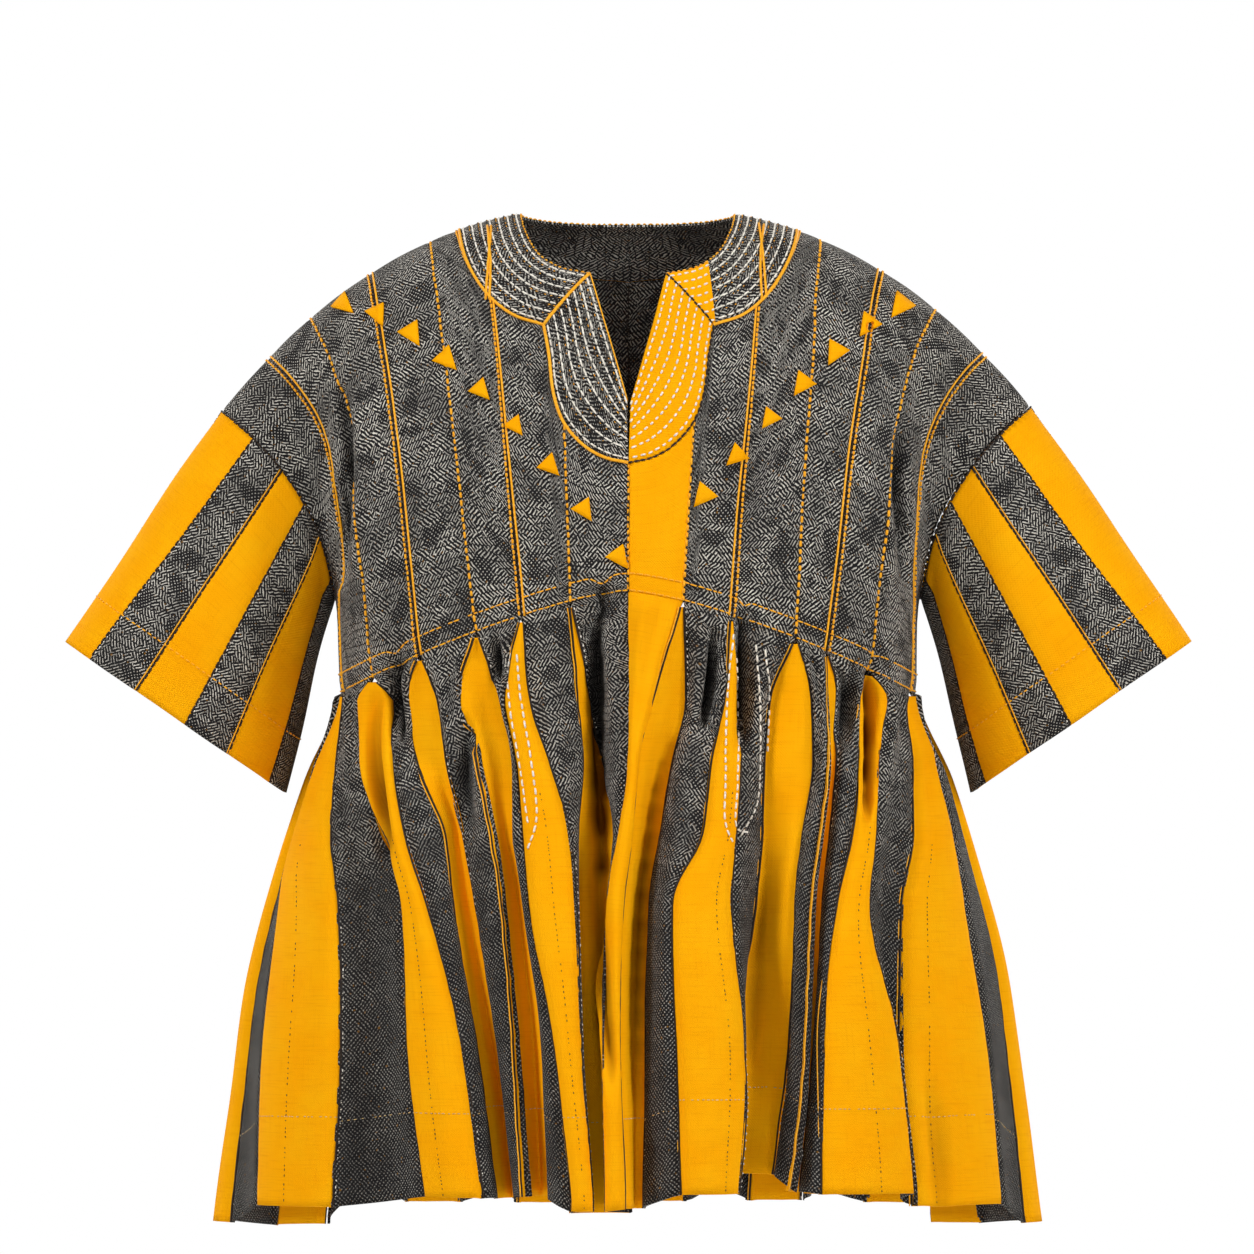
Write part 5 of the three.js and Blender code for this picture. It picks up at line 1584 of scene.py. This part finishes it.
class SMOCK_OT_stage(bpy.types.Operator):
    """Pale floor, plain backdrop, soft lights and the camera"""
    bl_idname = "smock.stage"
    bl_label = "Stage"

    def execute(self, context):
        scene = context.scene
        floor = bpy.data.meshes.new("floor")
        floor.from_pydata([(-6, -6, -1.35), (6, -6, -1.35), (6, 6, -1.35), (-6, 6, -1.35)], [], [(0, 1, 2, 3)])
        plane = bpy.data.objects.new("floor", floor)
        bpy.context.collection.objects.link(plane)
        mat = bpy.data.materials.new("studio_floor")
        mat.use_nodes = True
        paint = mat.node_tree.nodes["Principled BSDF"].inputs
        paint["Base Color"].default_value = linear("#f2f2f0")
        paint["Roughness"].default_value = 0.9
        # glows pale to the camera only, and sends no light to anything else
        glow = add(mat.node_tree, "ShaderNodeLightPath").outputs["Is Camera Ray"]
        glow = add(mat.node_tree, "ShaderNodeMapRange", {0: glow, 3: 0.0, 4: 0.72}).outputs[0]
        paint["Emission Color"].default_value = (1, 1, 1, 1)
        mat.node_tree.links.new(glow, paint["Emission Strength"])
        floor.materials.append(mat)
        world = bpy.data.worlds.new("studio")
        world.use_nodes = True
        scene.world = world
        # plain white behind, with a softer white as the room's own light
        tree = world.node_tree
        room = tree.nodes["Background"]
        tint = add(tree, "ShaderNodeMix", {6: (1, 0.68, 0.42, 1), 7: (1, 1, 1, 1)}, data_type="RGBA")
        seen = add(tree, "ShaderNodeLightPath").outputs["Is Camera Ray"]
        strength = add(tree, "ShaderNodeMapRange", {0: seen, 3: 0.13, 4: 1.0}).outputs[0]
        tree.links.new(seen, tint.inputs[0])
        tree.links.new(tint.outputs[2], room.inputs["Color"])
        tree.links.new(strength, room.inputs["Strength"])
        scene.view_settings.view_transform = "Standard"
        for name, place, size, power in (("key", (-2.6, -1.8, 2.0), 0.7, 96), ("fill", (2.6, -1.8, 1.3), 0.8, 74),
                                         ("front", (0.0, -3.2, 0.6), 1.6, 12),
                                         ("back_left", (-1.9, 2.6, 1.2), 1.4, 46), ("back_right", (1.9, 2.6, 0.9), 1.4, 40)):
            lamp = bpy.data.lights.new(name, "AREA")
            lamp.size, lamp.energy = size, power
            obj = bpy.data.objects.new(name, lamp)
            obj.location = place
            obj.rotation_euler = (Vector((0, 0, -0.42)) - Vector(place)).to_track_quat("-Z", "Y").to_euler()
            bpy.context.collection.objects.link(obj)
        cam = bpy.data.cameras.new("camera")
        distance, frame_wide = 22.0, 1.0659
        cam.sensor_width = 36
        cam.lens = 36 * distance / frame_wide
        cam.clip_end = 200
        obj = bpy.data.objects.new("camera", cam)
        obj.location = (-0.00085, -distance, -0.357)
        obj.rotation_euler = (math.pi / 2, 0, 0)
        bpy.context.collection.objects.link(obj)
        scene.camera = obj
        return {"FINISHED"}


OPERATORS = [SMOCK_OT_strips, SMOCK_OT_gores, SMOCK_OT_sleeves, SMOCK_OT_band, SMOCK_OT_seams,
             SMOCK_OT_sleeve_seams, SMOCK_OT_embroidery, SMOCK_OT_rows, SMOCK_OT_trim, SMOCK_OT_stage]


class SMOCK_PT_panel(bpy.types.Panel):
    """Sizes, colours and the pieces of the smock"""
    bl_label = "Strip smock"
    bl_idname = "SMOCK_PT_panel"
    bl_space_type = "VIEW_3D"
    bl_region_type = "UI"
    bl_category = "Smock"

    def draw(self, context):
        for group in (context.scene.smock_sizes, context.scene.smock_colours):
            for name in group.bl_rna.properties.keys():
                if name not in ("rna_type", "name"):
                    self.layout.prop(group, name)
        for cls in OPERATORS:
            self.layout.operator(cls.bl_idname)


CLASSES = [SmockSizes, SmockColours, *OPERATORS, SMOCK_PT_panel]


def register():
    for cls in CLASSES:
        bpy.utils.register_class(cls)
    bpy.types.Scene.smock_sizes = bpy.props.PointerProperty(type=SmockSizes)
    bpy.types.Scene.smock_colours = bpy.props.PointerProperty(type=SmockColours)


def unregister():
    del bpy.types.Scene.smock_sizes, bpy.types.Scene.smock_colours
    for cls in reversed(CLASSES):
        bpy.utils.unregister_class(cls)


def main():
    register()
    bpy.ops.smock.strips()
    bpy.ops.smock.gores()
    bpy.ops.smock.sleeves()
    bpy.ops.smock.band()
    bpy.ops.smock.seams()
    bpy.ops.smock.sleeve_seams()
    bpy.ops.smock.embroidery()
    bpy.ops.smock.rows()
    bpy.ops.smock.trim()
    bpy.ops.smock.stage()


if __name__ == "__main__":
    main()
